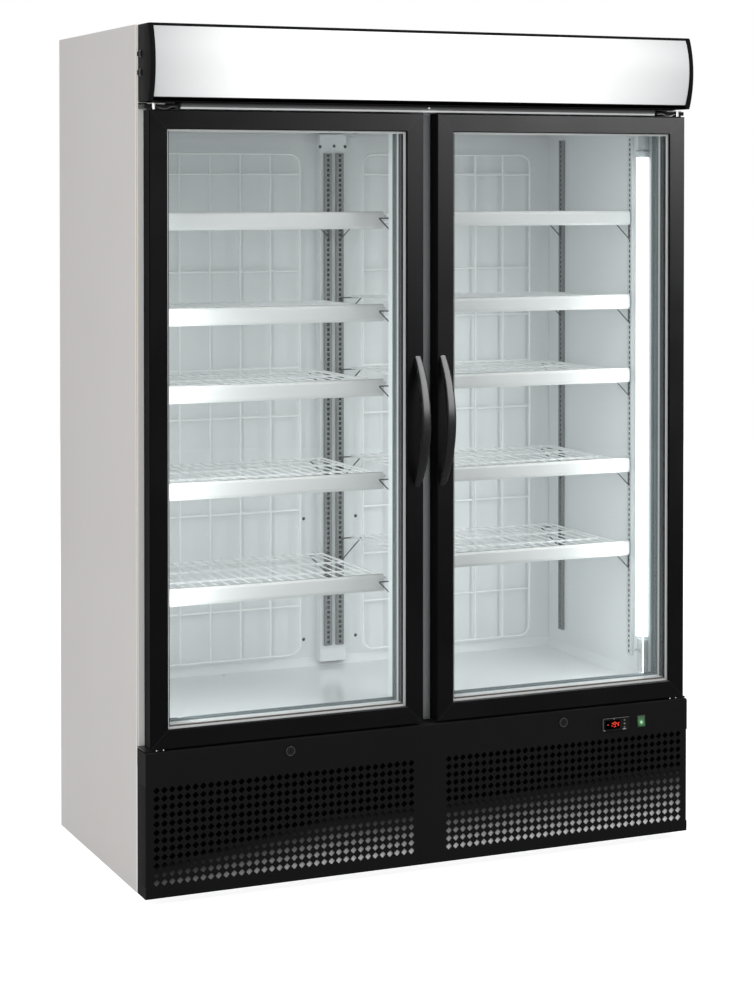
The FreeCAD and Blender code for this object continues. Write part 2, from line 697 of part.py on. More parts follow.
def fan_shroud():
    """Sheet behind the condenser with a round throat, a rim that reaches the pan, and the motor's struts."""
    place = condenser_fan_place()
    front = FRONT_Y + CONDENSER_FRONT + CONDENSER_DEPTH
    left = CONDENSER_LEFT
    right = CONDENSER_LEFT + CONDENSER_WIDTH
    centre = V(place.x, front, place.z)
    throat = outline(ring_points(FAN_RADIUS + FAN_TIP_GAP, THROAT_SIDES, centre, Y_AXIS))
    frame = rectangle_xz(left, right, PAN_TOP_Z, PAN_TOP_Z + CONDENSER_HEIGHT, front)
    sheet = netting(frame, [throat], V(0, SHROUD_SHEET, 0))
    foot = block(left, right, front, front + SHROUD_RIM, PAN_TOP_Z, PAN_TOP_Z + SHROUD_SHEET)
    back_side = front + SHROUD_SHEET - place.y
    spider = facing_back(motor_spider(FAN_RADIUS + FAN_TIP_GAP + STRUT_WIDTH, back_side), place)
    return fused(sheet, foot, spider)


def condenser_fan():
    return facing_back(fan_rotor(), condenser_fan_place())


def evaporator_fan_place():
    """Lower hub face of the evaporator fan, in the throat of the ceiling tray."""
    return V(0, FRONT_Y + EVAPORATOR_FAN_SETBACK, CEILING_Z + TRAY_SHEET / 2 - FAN_HUB_LENGTH / 2)


def evaporator_tray():
    """Ceiling of the shelf space: a tray under the coil with the fan's throat and the motor's struts."""
    place = evaporator_fan_place()
    x = INNER_X - SLIDE_CLEARANCE
    front = FRONT_Y + HEADER_WALL
    back = BACK_LINER_Y - TRAY_BACK_GAP
    centre = V(place.x, place.y, CEILING_Z)
    throat = outline(ring_points(FAN_RADIUS + FAN_TIP_GAP, THROAT_SIDES, centre, Z_AXIS))
    sheet = netting(rectangle_xy(-x, x, front, back, CEILING_Z), [throat], V(0, 0, TRAY_SHEET))
    rear_rim = block(-x, x, back - TRAY_SHEET, back, CEILING_Z, CEILING_Z + TRAY_RIM)
    spider = motor_spider(FAN_RADIUS + FAN_TIP_GAP + STRUT_WIDTH, CEILING_Z + TRAY_SHEET - place.z)
    return fused(sheet, rear_rim, moved(spider, place.x, place.y, place.z))


def evaporator_fan():
    place = evaporator_fan_place()
    return moved(fan_rotor(), place.x, place.y, place.z)


def evaporator_coil():
    comb = fin_comb(EVAPORATOR_WIDTH, EVAPORATOR_DEPTH, EVAPORATOR_HEIGHT,
                    EVAPORATOR_FINS, EVAPORATOR_FIN, EVAPORATOR_WEB)
    back = BACK_LINER_Y - TRAY_BACK_GAP - TRAY_SHEET - EVAPORATOR_BACK_GAP
    return moved(comb, -EVAPORATOR_WIDTH / 2, back - EVAPORATOR_DEPTH, CEILING_Z + TRAY_SHEET)


# Plinth, locks, controller and power switch

def plinth_face_gaps():
    """Every cut-out of the plinth's front sheet, as wires in its front plane."""
    y = DOOR_FACE_Y
    gaps = []
    half = LOCK_BODY_WIDTH / 2
    for side in (-1, 1):
        for column in vent_stations(VENT_INNER_EDGE, HALF_WIDTH - VENT_OUTER_EDGE):
            for z in vent_stations(BASE_Z + VENT_LOW_EDGE, PLINTH_TOP_Z - VENT_HEADROOM):
                x = side * column
                gaps.append(outline([V(x - VENT_RADIUS, y, z), V(x, y, z - VENT_RADIUS),
                                     V(x + VENT_RADIUS, y, z), V(x, y, z + VENT_RADIUS)]))
        x = side * LOCK_OFFSET
        gaps.append(rectangle_xz(x - half, x + half, LOCK_Z - half, LOCK_Z + half, y))
    x = CONTROLLER_CENTRE
    z = PLINTH_TOP_Z - CONTROLLER_DROP
    half_x = CONTROLLER_WIDTH / 2 - CONTROLLER_RIM
    half_z = CONTROLLER_HEIGHT / 2 - CONTROLLER_RIM
    gaps.append(rectangle_xz(x - half_x, x + half_x, z - half_z, z + half_z, y))
    x = POWER_SWITCH_CENTRE
    z = PLINTH_TOP_Z - POWER_SWITCH_DROP
    half_x = POWER_ROCKER_WIDTH / 2 + SWITCH_SIDE_GAP + SWITCH_WALL
    half_z = POWER_ROCKER_LENGTH / 2 + SWITCH_END_GAP + SWITCH_WALL
    gaps.append(rectangle_xz(x - half_x, x + half_x, z - half_z, z + half_z, y))
    return gaps


def vent_stations(low, high):
    """Centres of as many vents as fit between two edges, at their pitch from the first edge."""
    count = 1 + int((high - low - 2 * VENT_RADIUS) / VENT_PITCH)
    return [low + VENT_RADIUS + i * VENT_PITCH for i in range(count)]


def plinth_panel():
    """Folded black box below the doors: front sheet, side returns, top and bottom lips."""
    x = HALF_WIDTH - PLINTH_SIDE_GAP
    y = DOOR_FACE_Y
    inner_y = y + PLINTH_SHEET
    face = netting(rectangle_xz(-x, x, BASE_Z, PLINTH_TOP_Z, y), plinth_face_gaps(), V(0, PLINTH_SHEET, 0))
    returns = both_sides(block(x - PLINTH_SHEET, x, inner_y, FRONT_Y, BASE_Z, PLINTH_TOP_Z))
    inside_x = x - PLINTH_SHEET
    top = block(-inside_x, inside_x, inner_y, FRONT_Y - PLINTH_TOP_RELIEF,
                PLINTH_TOP_Z - PLINTH_SHEET, PLINTH_TOP_Z)
    lip = block(-inside_x, inside_x, inner_y, y + PLINTH_LIP, BASE_Z, BASE_Z + PLINTH_SHEET)
    slots = [cam_slot(side, PLINTH_TOP_Z - PLINTH_SHEET) for side in (-1, 1)]
    return fused(face, top.cut(slots), lip, *returns)


def cam_slot(side, low_z):
    """Room for a lock cam that turns up past the height low_z."""
    centre = side * LOCK_OFFSET
    height = low_z - LOCK_Z
    swing = math.sqrt(CAM_TIP_RADIUS ** 2 - height ** 2)
    return block(centre - CAM_WIDTH / 2 - CAM_CLEARANCE, centre + swing + CAM_CLEARANCE,
                 CAM_FRONT_Y - CAM_CLEARANCE, CAM_FRONT_Y + CAM_SHEET + CAM_CLEARANCE,
                 low_z - OVERRUN, LOCK_Z + CAM_TIP_RADIUS + CAM_CLEARANCE)


def lock_housing(side):
    centre = V(side * LOCK_OFFSET, DOOR_FACE_Y, LOCK_Z)
    front = V(centre.x, centre.y - LOCK_FLANGE, centre.z)
    flange = rod(LOCK_FLANGE_RADIUS, LOCK_FLANGE, front, Y_AXIS)
    half = LOCK_BODY_WIDTH / 2
    body = block(centre.x - half, centre.x + half, centre.y, centre.y + LOCK_BODY_LENGTH,
                 LOCK_Z - half, LOCK_Z + half)
    bore = rod(LOCK_PLUG_RADIUS + RUNNING_CLEARANCE, LOCK_FLANGE + LOCK_BODY_LENGTH, front, Y_AXIS)
    return fused(flange, body).cut(bore)


def lock_plug(side):
    """Key plug with its keyway and the cam that turns up into the door's lower rail."""
    x = side * LOCK_OFFSET
    front = DOOR_FACE_Y - LOCK_FLANGE
    plug = rod(LOCK_PLUG_RADIUS, CAM_FRONT_Y + CAM_SHEET - front, V(x, front, LOCK_Z), Y_AXIS)
    keyway = block(x - KEYWAY_WIDTH / 2, x + KEYWAY_WIDTH / 2, front - OVERRUN, front + KEYWAY_DEPTH,
                   LOCK_Z - KEYWAY_HEIGHT / 2, LOCK_Z + KEYWAY_HEIGHT / 2)
    cam = block(x, x + CAM_LENGTH, CAM_FRONT_Y, CAM_FRONT_Y + CAM_SHEET,
                LOCK_Z - CAM_WIDTH / 2, LOCK_Z + CAM_WIDTH / 2)
    return fused(plug.cut(keyway), cam)


def key_places():
    """Centres of the controller's keys, top to bottom."""
    middle = PLINTH_TOP_Z - CONTROLLER_DROP
    x = CONTROLLER_CENTRE + KEY_OFFSET
    return {"up": (x, middle + KEY_PITCH), "set": (x, middle), "down": (x, middle - KEY_PITCH)}


def controller_key(x, z):
    front = DOOR_FACE_Y - CONTROLLER_PROUD - KEY_PROUD
    half_x = KEY_WIDTH / 2
    half_z = KEY_HEIGHT / 2
    return block(x - half_x, x + half_x, front, front + KEY_LENGTH, z - half_z, z + half_z)


def controller_housing():
    """Bezel and body of the temperature controller, with the window's seat and the wells of its keys."""
    z = PLINTH_TOP_Z - CONTROLLER_DROP
    front = DOOR_FACE_Y - CONTROLLER_PROUD
    half_x = CONTROLLER_WIDTH / 2
    half_z = CONTROLLER_HEIGHT / 2
    bezel = block(CONTROLLER_CENTRE - half_x, CONTROLLER_CENTRE + half_x, front, DOOR_FACE_Y,
                  z - half_z, z + half_z)
    body_x = half_x - CONTROLLER_RIM
    body_z = half_z - CONTROLLER_RIM
    body = block(CONTROLLER_CENTRE - body_x, CONTROLLER_CENTRE + body_x, DOOR_FACE_Y,
                 DOOR_FACE_Y + CONTROLLER_DEPTH, z - body_z, z + body_z)
    well_x = KEY_WIDTH / 2 + SLIDE_CLEARANCE
    well_z = KEY_HEIGHT / 2 + SLIDE_CLEARANCE
    well_back = front - KEY_PROUD + KEY_LENGTH + KEY_TRAVEL + SLIDE_CLEARANCE
    wells = [block(x - well_x, x + well_x, front - OVERRUN, well_back, key_z - well_z, key_z + well_z)
             for x, key_z in key_places().values()]
    return fused(bezel, body).cut([window_block(OVERRUN)] + wells)


def window_block(spare):
    """The display window, or the seat that is cut for it when spare reaches out of the bezel."""
    x = CONTROLLER_CENTRE - WINDOW_OFFSET
    z = PLINTH_TOP_Z - CONTROLLER_DROP
    front = DOOR_FACE_Y - CONTROLLER_PROUD
    return block(x - WINDOW_WIDTH / 2, x + WINDOW_WIDTH / 2, front - spare, front + WINDOW_SHEET,
                 z - WINDOW_HEIGHT / 2, z + WINDOW_HEIGHT / 2)


def switch_housing(length, width):
    """Bezel and body of a rocker switch. It faces -Y from a panel at y = 0, its rocker turns about X."""
    rim_x = width / 2 + SWITCH_RIM
    rim_z = length / 2 + SWITCH_RIM
    room_x = width / 2 + SWITCH_SIDE_GAP
    room_z = length / 2 + SWITCH_END_GAP
    body_x = room_x + SWITCH_WALL
    body_z = room_z + SWITCH_WALL
    bezel = block(-rim_x, rim_x, -SWITCH_PROUD, 0, -rim_z, rim_z)
    body = block(-body_x, body_x, 0, SWITCH_DEPTH, -body_z, body_z)
    room = block(-room_x, room_x, -SWITCH_PROUD - OVERRUN, SWITCH_DEPTH - SWITCH_WALL, -room_z, room_z)
    reach = room_x + ROCKER_PIVOT_BITE + SLIDE_CLEARANCE
    pivots = rod(ROCKER_PIVOT_RADIUS + RUNNING_CLEARANCE, 2 * reach, V(-reach, ROCKER_PIVOT_DEPTH, 0), X_AXIS)
    return fused(bezel, body).cut([room, pivots])


def switch_rocker(length, width):
    """Rocker with a shallow V face and pivot pins, tipped to its first position."""
    end = -SWITCH_PROUD - ROCKER_END_PROUD
    middle = -SWITCH_PROUD - ROCKER_MIDDLE_PROUD
    back = ROCKER_PIVOT_DEPTH + ROCKER_BACK
    points = [V(-width / 2, end, -length / 2), V(-width / 2, middle, 0), V(-width / 2, end, length / 2),
              V(-width / 2, back, length / 2), V(-width / 2, back, -length / 2)]
    reach = width / 2 + SWITCH_SIDE_GAP + ROCKER_PIVOT_BITE
    pins = rod(ROCKER_PIVOT_RADIUS, 2 * reach, V(-reach, ROCKER_PIVOT_DEPTH, 0), X_AXIS)
    rocker = fused(prism(points, V(width, 0, 0)), pins)
    rocker.rotate(V(0, ROCKER_PIVOT_DEPTH, 0), X_AXIS, -ROCKER_TILT)
    return rocker


def on_plinth(shape):
    return moved(shape, POWER_SWITCH_CENTRE, DOOR_FACE_Y, PLINTH_TOP_Z - POWER_SWITCH_DROP)


# Lit sign box

def canopy_side_x():
    return HALF_WIDTH - CANOPY_SIDE_GAP


def canopy_channel():
    """Folded channel on the header: back, top and bottom with lips that hold the panel's edges."""
    x = canopy_side_x() - CANOPY_CAP
    front = FRONT_Y - CANOPY_DEPTH
    t = CANOPY_SHEET
    low = CANOPY_Z
    points = [(FRONT_Y, low), (front, low), (front, low + CANOPY_LIP), (front + t, low + CANOPY_LIP),
              (front + t, low + t), (FRONT_Y - t, low + t), (FRONT_Y - t, TOP_Z - t), (front + t, TOP_Z - t),
              (front + t, TOP_Z - CANOPY_LIP), (front, TOP_Z - CANOPY_LIP), (front, TOP_Z), (FRONT_Y, TOP_Z)]
    return prism([V(-x, y, z) for y, z in points], V(2 * x, 0, 0))


def bowed_outline(x, low, high, back, front, bulge):
    """A closed wire in the plane x: straight back, top and bottom, and a front bowed out by bulge."""
    bow = Part.Arc(V(x, front, low), V(x, front - bulge, (low + high) / 2), V(x, front, high)).toShape()
    rest = Part.makePolygon([V(x, front, high), V(x, back, high), V(x, back, low), V(x, front, low)])
    return Part.Wire([bow] + rest.Edges)


def canopy_diffuser():
    """Bowed translucent panel with a flat tab behind each lip of the channel."""
    x = canopy_side_x() - CANOPY_CAP
    tab_front = FRONT_Y - CANOPY_DEPTH + CANOPY_SHEET
    low = CANOPY_Z + CANOPY_LIP
    high = TOP_Z - CANOPY_LIP
    middle = (low + high) / 2
    outer = bowed_outline(-x, low, high, tab_front + DIFFUSER_SHEET, tab_front, CANOPY_BULGE)
    inner = bowed_outline(-x, low + DIFFUSER_SHEET, high - DIFFUSER_SHEET, tab_front + OVERRUN,
                          tab_front + DIFFUSER_SHEET, CANOPY_BULGE)
    along = V(2 * x, 0, 0)
    shell = Part.Face(outer).extrude(along).cut(Part.Face(inner).extrude(along))
    window = block(-x - OVERRUN, x + OVERRUN, tab_front, tab_front + DIFFUSER_SHEET,
                   low + DIFFUSER_SHEET, high - DIFFUSER_SHEET)
    bowed = shell.cut(window)
    tabs = [block(-x, x, tab_front, tab_front + DIFFUSER_SHEET, middle + s * (middle - low) - DIFFUSER_TAB,
                  middle + s * (middle - low) + DIFFUSER_TAB) for s in (-1, 1)]
    return fused(bowed, *tabs)


def canopy_cap():
    """Right-hand end cap, with the box's own bowed outline."""
    x = canopy_side_x()
    wire = bowed_outline(x - CANOPY_CAP, CANOPY_Z, TOP_Z, FRONT_Y, FRONT_Y - CANOPY_DEPTH, CANOPY_BULGE)
    return Part.Face(wire).extrude(V(CANOPY_CAP, 0, 0))


def sign_switch_places():
    """Centres of the two switches on the left end cap, lower first."""
    y = FRONT_Y - SIGN_SWITCH_SETBACK
    low = CANOPY_Z + SIGN_SWITCH_LOW
    return [V(-canopy_side_x(), y, low), V(-canopy_side_x(), y, low + SIGN_SWITCH_PITCH)]


def on_left_cap(shape, place):
    """Turns a switch so that it faces -X with its long side from front to back."""
    facing = turned(turned(shape, Y_AXIS, QUARTER_TURN), Z_AXIS, -QUARTER_TURN)
    return moved(facing, place.x, place.y, place.z)


def canopy_end_caps():
    right = canopy_cap()
    half_y = SIGN_ROCKER_LENGTH / 2 + SWITCH_END_GAP + SWITCH_WALL
    half_z = SIGN_ROCKER_WIDTH / 2 + SWITCH_SIDE_GAP + SWITCH_WALL
    holes = [block(p.x - OVERRUN, p.x + CANOPY_CAP + OVERRUN, p.y - half_y, p.y + half_y,
                   p.z - half_z, p.z + half_z) for p in sign_switch_places()]
    left = right.mirror(ORIGIN, X_AXIS).cut(holes)
    return [left, right]


def canopy_tube():
    """Lamp tube along the sign box, on a holder at each end."""
    half = canopy_side_x() - CANOPY_CAP - SIGN_TUBE_END_GAP
    y = FRONT_Y - SIGN_TUBE_SETBACK
    z = (CANOPY_Z + TOP_Z) / 2
    tube = faceted_rod(SIGN_TUBE_RADIUS, 2 * half, V(-half, y, z), X_AXIS, TUBE_SIDES)
    holders = [block(x, x + TUBE_HOLDER, y - SIGN_TUBE_RADIUS, FRONT_Y - CANOPY_SHEET,
                     z - TUBE_HOLDER, z + TUBE_HOLDER) for x in (-half, half - TUBE_HOLDER)]
    return fused(tube, *holders)


# Doors and hinges, modelled on the right and mirrored for the left

def door_frame():
    """Channel profile round the glass, four mitred lengths, bored for the hinge pins."""
    back = FRAME_BACK_Y
    front = DOOR_FACE_Y
    channel_front = front + FRAME_FRONT_LIP
    channel_back = channel_front + glazing_depth() + 2 * GLAZING_CLEARANCE
    section = [(0, back), (0, front + FRAME_BEVEL), (FRAME_BEVEL, front), (FRAME_FACE - FRAME_BEVEL, front),
               (FRAME_FACE, front + FRAME_BEVEL), (FRAME_FACE, channel_front), (FRAME_WEB, channel_front),
               (FRAME_WEB, channel_back), (FRAME_FACE, channel_back), (FRAME_FACE, back)]
    lengths = mitred_ring(section, DOOR_INNER_X, DOOR_OUTER_X, DOOR_LOW_Z, DOOR_HIGH_Z)
    bore_radius = HINGE_PIN_RADIUS + RUNNING_CLEARANCE
    depth = HINGE_PIN_BITE + HINGE_BORE_SPARE
    bores = [rod(bore_radius, depth + OVERRUN, V(HINGE_X, HINGE_Y, DOOR_LOW_Z - OVERRUN), Z_AXIS),
             rod(bore_radius, depth + OVERRUN, V(HINGE_X, HINGE_Y, DOOR_HIGH_Z - depth), Z_AXIS)]
    return [length.cut(bores) for length in lengths]


def glazing_depth():
    return PANE_COUNT * PANE_SHEET + (PANE_COUNT - 1) * SPACER_DEPTH


def glazing_front(layer):
    """Front of a pane, counted from the outside, in the channel of the frame."""
    return DOOR_FACE_Y + FRAME_FRONT_LIP + GLAZING_CLEARANCE + layer * (PANE_SHEET + SPACER_DEPTH)


def door_panes():
    inset = FRAME_WEB + PANE_EDGE_CLEARANCE
    return [block(DOOR_INNER_X + inset, DOOR_OUTER_X - inset, glazing_front(i), glazing_front(i) + PANE_SHEET,
                  DOOR_LOW_Z + inset, DOOR_HIGH_Z - inset) for i in range(PANE_COUNT)]


def door_spacers():
    """Metal frames that hold the panes apart, seen as a line inside the door frame."""
    spacers = []
    for i in range(PANE_COUNT - 1):
        y = glazing_front(i) + PANE_SHEET
        wires = []
        for inset in (SPACER_INSET, SPACER_INSET + SPACER_WIDTH):
            wires.append(rectangle_xz(DOOR_INNER_X + inset, DOOR_OUTER_X - inset,
                                      DOOR_LOW_Z + inset, DOOR_HIGH_Z - inset, y))
        spacers.append(netting(wires[0], wires[1:], V(0, SPACER_DEPTH, 0)))
    return spacers


def door_gasket():
    """Magnetic seal: a bulb with a waist between the frame and the cabinet's front."""
    back = FRONT_Y - SEAL_CLEARANCE
    front = FRAME_BACK_Y
    middle = (front + back) / 2
    outer = GASKET_INSET
    inner = GASKET_INSET + GASKET_WIDTH
    section = [(outer, front), (inner, front), (inner - GASKET_WAIST, middle), (inner, back),
               (outer, back), (outer + GASKET_WAIST, middle)]
    return mitred_ring(section, DOOR_INNER_X, DOOR_OUTER_X, DOOR_LOW_Z, DOOR_HIGH_Z)


def door_handle():
    """Bow handle: an arch seen from the side, swelling in width towards its middle seen from the front."""
    x = DOOR_INNER_X + HANDLE_INSET + HANDLE_END_WIDTH / 2
    low = PLINTH_TOP_Z + HANDLE_BASE
    high = low + HANDLE_LENGTH
    middle = (low + high) / 2
    half = HANDLE_MIDDLE_WIDTH
    left_x = x - half
    face_y = DOOR_FACE_Y
    crown_y = face_y - HANDLE_REACH
    inside_low = low + HANDLE_FOOT
    inside_high = high - HANDLE_FOOT
    outer = Part.Arc(V(left_x, face_y, low), V(left_x, crown_y, middle), V(left_x, face_y, high)).toShape()
    inner = Part.Arc(V(left_x, face_y, inside_high), V(left_x, crown_y + HANDLE_SECTION, middle),
                     V(left_x, face_y, inside_low)).toShape()
    feet = [Part.makeLine(V(left_x, face_y, high), V(left_x, face_y, inside_high)),
            Part.makeLine(V(left_x, face_y, inside_low), V(left_x, face_y, low))]
    arch = Part.Face(Part.Wire([outer, feet[0], inner, feet[1]])).extrude(V(2 * half, 0, 0))
    end = HANDLE_END_WIDTH / 2
    belly = HANDLE_MIDDLE_WIDTH / 2
    front = DOOR_FACE_Y - HANDLE_REACH - OVERRUN
    right = Part.Arc(V(x + end, front, low), V(x + belly, front, middle), V(x + end, front, high)).toShape()
    left = Part.Arc(V(x - end, front, high), V(x - belly, front, middle), V(x - end, front, low)).toShape()
    ends = [Part.makeLine(V(x + end, front, high), V(x - end, front, high)),
            Part.makeLine(V(x - end, front, low), V(x + end, front, low))]
    swell = Part.Face(Part.Wire([right, ends[0], left, ends[1]])).extrude(V(0, HANDLE_REACH + 2 * OVERRUN, 0))
    return arch.common(swell)


def hinge_plates():
    """Lower hinge and longer upper one: an angle on the cabinet's front with the pin that enters the door."""
    x0 = HINGE_X - HINGE_HALF_WIDTH
    x1 = HINGE_X + HINGE_HALF_WIDTH
    nose = HINGE_Y - HINGE_NOSE
    lower_top = DOOR_LOW_Z - HINGE_BOTTOM_GAP
    lower = fused(block(x0, x1, nose, FRONT_Y, lower_top - HINGE_PLATE, lower_top),
                  block(x0 + HINGE_LEG_INSET, x1 - HINGE_LEG_INSET, FRONT_Y - HINGE_PLATE, FRONT_Y,
                        lower_top - HINGE_LEG, lower_top),
                  rod(HINGE_PIN_RADIUS, HINGE_BOTTOM_GAP + HINGE_PIN_BITE,
                      V(HINGE_X, HINGE_Y, lower_top), Z_AXIS))
    upper_high = CANOPY_Z - HINGE_CANOPY_GAP
    upper_low = (DOOR_HIGH_Z + upper_high) / 2
    upper_top = upper_low + HINGE_PLATE
    arm_end = HINGE_X - HINGE_ARM
    upper = fused(block(arm_end, x1, nose, FRONT_Y, upper_low, upper_top),
                  block(arm_end, x1, FRONT_Y - HINGE_PLATE, FRONT_Y, upper_low, upper_high),
                  rod(HINGE_PIN_RADIUS, upper_low - DOOR_HIGH_Z + HINGE_PIN_BITE,
                      V(HINGE_X, HINGE_Y, DOOR_HIGH_Z - HINGE_PIN_BITE), Z_AXIS))
    return [lower, upper]


def mirrored(solids):
    return [solid.mirror(ORIGIN, X_AXIS) for solid in solids]


def with_cam_slot(lengths, side):
    slot = cam_slot(side, DOOR_LOW_Z)
    return [length.cut(slot) for length in lengths]


# Shelves and what carries them

def shelf_standard():
    """Slotted channel that faces -Y from a wall at y = 0."""
    half = STANDARD_WIDTH / 2
    inner = half - STANDARD_SHEET
    web = STANDARD_SHEET - STANDARD_DEPTH
    points = [(-half, 0), (-half, -STANDARD_DEPTH), (half, -STANDARD_DEPTH), (half, 0),
              (inner, 0), (inner, web), (-inner, web), (-inner, 0)]
    length = STANDARD_HIGH_Z - STANDARD_LOW_Z
    channel = prism([V(x, y, 0) for x, y in points], V(0, 0, length))
    slots = []
    z = SLOT_PITCH / 2
    while z + SLOT_HEIGHT < length:
        slots.append(block(-SLOT_WIDTH / 2, SLOT_WIDTH / 2, -STANDARD_DEPTH - OVERRUN, web + STANDARD_SHEET,
                           z, z + SLOT_HEIGHT))
        z += SLOT_PITCH
    return channel.cut(slots)


def standard_stations():
    """Where the standards of the right-hand bay stand: a turn about Z and the wall point behind each."""
    front = FRONT_Y + STANDARD_FRONT
    rear = BACK_LINER_Y - STANDARD_REAR_GAP
    return {"wall_front": (-QUARTER_TURN, INNER_X, front), "wall_rear": (-QUARTER_TURN, INNER_X, rear),
            "centre_front": (HALF_TURN, STANDARD_CENTRE_OFFSET, FRONT_Y + MULLION_DEPTH),
            "centre_rear": (0, STANDARD_CENTRE_OFFSET, POST_FRONT_Y)}


def shelf_standards():
    standard = shelf_standard()
    solids = []
    for turn, x, y in standard_stations().values():
        solids += both_sides(moved(turned(standard, Z_AXIS, turn), x, y, STANDARD_LOW_Z))
    return solids


def shelf_bracket(left, right, reach):
    """Angle that hangs on a standard's face at y = 0 and reaches -Y; its ledge's top is at z = 0."""
    t = BRACKET_SHEET
    points = [(0, 0), (-reach, 0), (-reach, -t), (-t, -t), (-t, -BRACKET_LEG), (0, -BRACKET_LEG)]
    return prism([V(left, y, z) for y, z in points], V(right - left, 0, 0))


def bay_brackets(ledge_z):
    """The four brackets under one shelf of the right-hand bay."""
    half = WALL_BRACKET_WIDTH / 2
    inner_half = STANDARD_WIDTH / 2
    spread = CENTRE_BRACKET_WIDTH - inner_half
    spans = {"wall_front": (-half, half, WALL_BRACKET_REACH), "wall_rear": (-half, half, WALL_BRACKET_REACH),
             "centre_front": (-spread, inner_half, FRONT_BRACKET_REACH),
             "centre_rear": (-inner_half, spread, REAR_BRACKET_REACH)}
    solids = []
    for station, (turn, x, y) in standard_stations().items():
        left, right, reach = spans[station]
        bracket = moved(shelf_bracket(left, right, reach), 0, -STANDARD_DEPTH, 0)
        solids.append(moved(turned(bracket, Z_AXIS, turn), x, y, ledge_z))
    return solids


def rail_tops(shares):
    return [FLOOR_Z + share * INTERIOR_HEIGHT for share in shares]


def shelf_low_z(rail_top):
    return rail_top - SHELF_RAIL_DROP - SHELF_WIRE


def shelf_brackets():
    left = [mirrored(bay_brackets(shelf_low_z(top))) for top in rail_tops(LEFT_RAIL_TOP_SHARES)]
    right = [bay_brackets(shelf_low_z(top)) for top in rail_tops(RIGHT_RAIL_TOP_SHARES)]
    return [solid for group in left + right for solid in group]


def wire_shelf(rail_top):
    """Shelf of the right-hand bay: a border wire and bars from front to back."""
    x0 = SHELF_INNER_OFFSET
    x1 = INNER_X - SHELF_OUTER_GAP
    y0 = FRONT_Y + SHELF_FRONT
    y1 = BACK_LINER_Y - SHELF_REAR_GAP
    z = shelf_low_z(rail_top)
    columns = even_gaps(x0, x1, SHELF_GAP_COLUMNS, SHELF_WIRE)
    rows = even_gaps(y0, y1, SHELF_GAP_ROWS, SHELF_WIRE)
    gaps = [rectangle_xy(a, b, c, d, z) for a, b in columns for c, d in rows]
    return netting(rectangle_xy(x0, x1, y0, y1, z), gaps, V(0, 0, SHELF_WIRE))


def price_rail(rail_top, height):
    """Ticket rail along the front edge of a right-hand shelf, a shallow channel."""
    x0 = RAIL_INNER_OFFSET
    x1 = INNER_X - RAIL_OUTER_GAP
    back = FRONT_Y + SHELF_FRONT
    front = back - RAIL_DEPTH
    low = rail_top - height
    points = [(back, low), (front, low), (front, low + RAIL_LIP), (front + RAIL_LIP, low + 2 * RAIL_LIP),
              (front + RAIL_LIP, rail_top - 2 * RAIL_LIP), (front, rail_top - RAIL_LIP), (front, rail_top),
              (back, rail_top)]
    return prism([V(x0, y, z) for y, z in points], V(x1 - x0, 0, 0))


def back_guard():
    """Wire guard that keeps the goods off the back wall, on four short legs."""
    x0 = GUARD_INNER_OFFSET
    x1 = INNER_X - GUARD_OUTER_GAP
    z0 = FLOOR_Z + GUARD_FLOOR_GAP
    z1 = CEILING_Z - GUARD_CEILING_GAP
    y = BACK_LINER_Y - GUARD_STANDOFF - GUARD_WIRE
    gaps = [rectangle_xz(a, b, c, d, y) for a, b in even_gaps(x0, x1, GUARD_COLUMNS, GUARD_WIRE)
            for c, d in even_gaps(z0, z1, GUARD_ROWS, GUARD_WIRE)]
    net = netting(rectangle_xz(x0, x1, z0, z1, y), gaps, V(0, GUARD_WIRE, 0))
    legs = [block(x, x + GUARD_WIRE, y + GUARD_WIRE, BACK_LINER_Y, z, z + GUARD_WIRE)
            for x in (x0, x1 - GUARD_WIRE) for z in (z0, z1 - GUARD_WIRE)]
    return fused(net, *legs)


def wall_lamp():
    """Upright lamp on the right-hand wall with a sloped diffuser."""
    front = FRONT_Y + LAMP_FRONT
    back = front + LAMP_WIDTH
    face = INNER_X - LAMP_DEPTH
    low = FLOOR_Z + LAMP_FLOOR_GAP
    points = [(INNER_X, front), (INNER_X, back), (face + LAMP_SHOULDER, back), (face, back - LAMP_SHOULDER),
              (face, front + LAMP_SHOULDER), (face + LAMP_SHOULDER, front)]
    return prism([V(x, y, low) for x, y in points], V(0, 0, CEILING_Z - LAMP_CEILING_GAP - low))


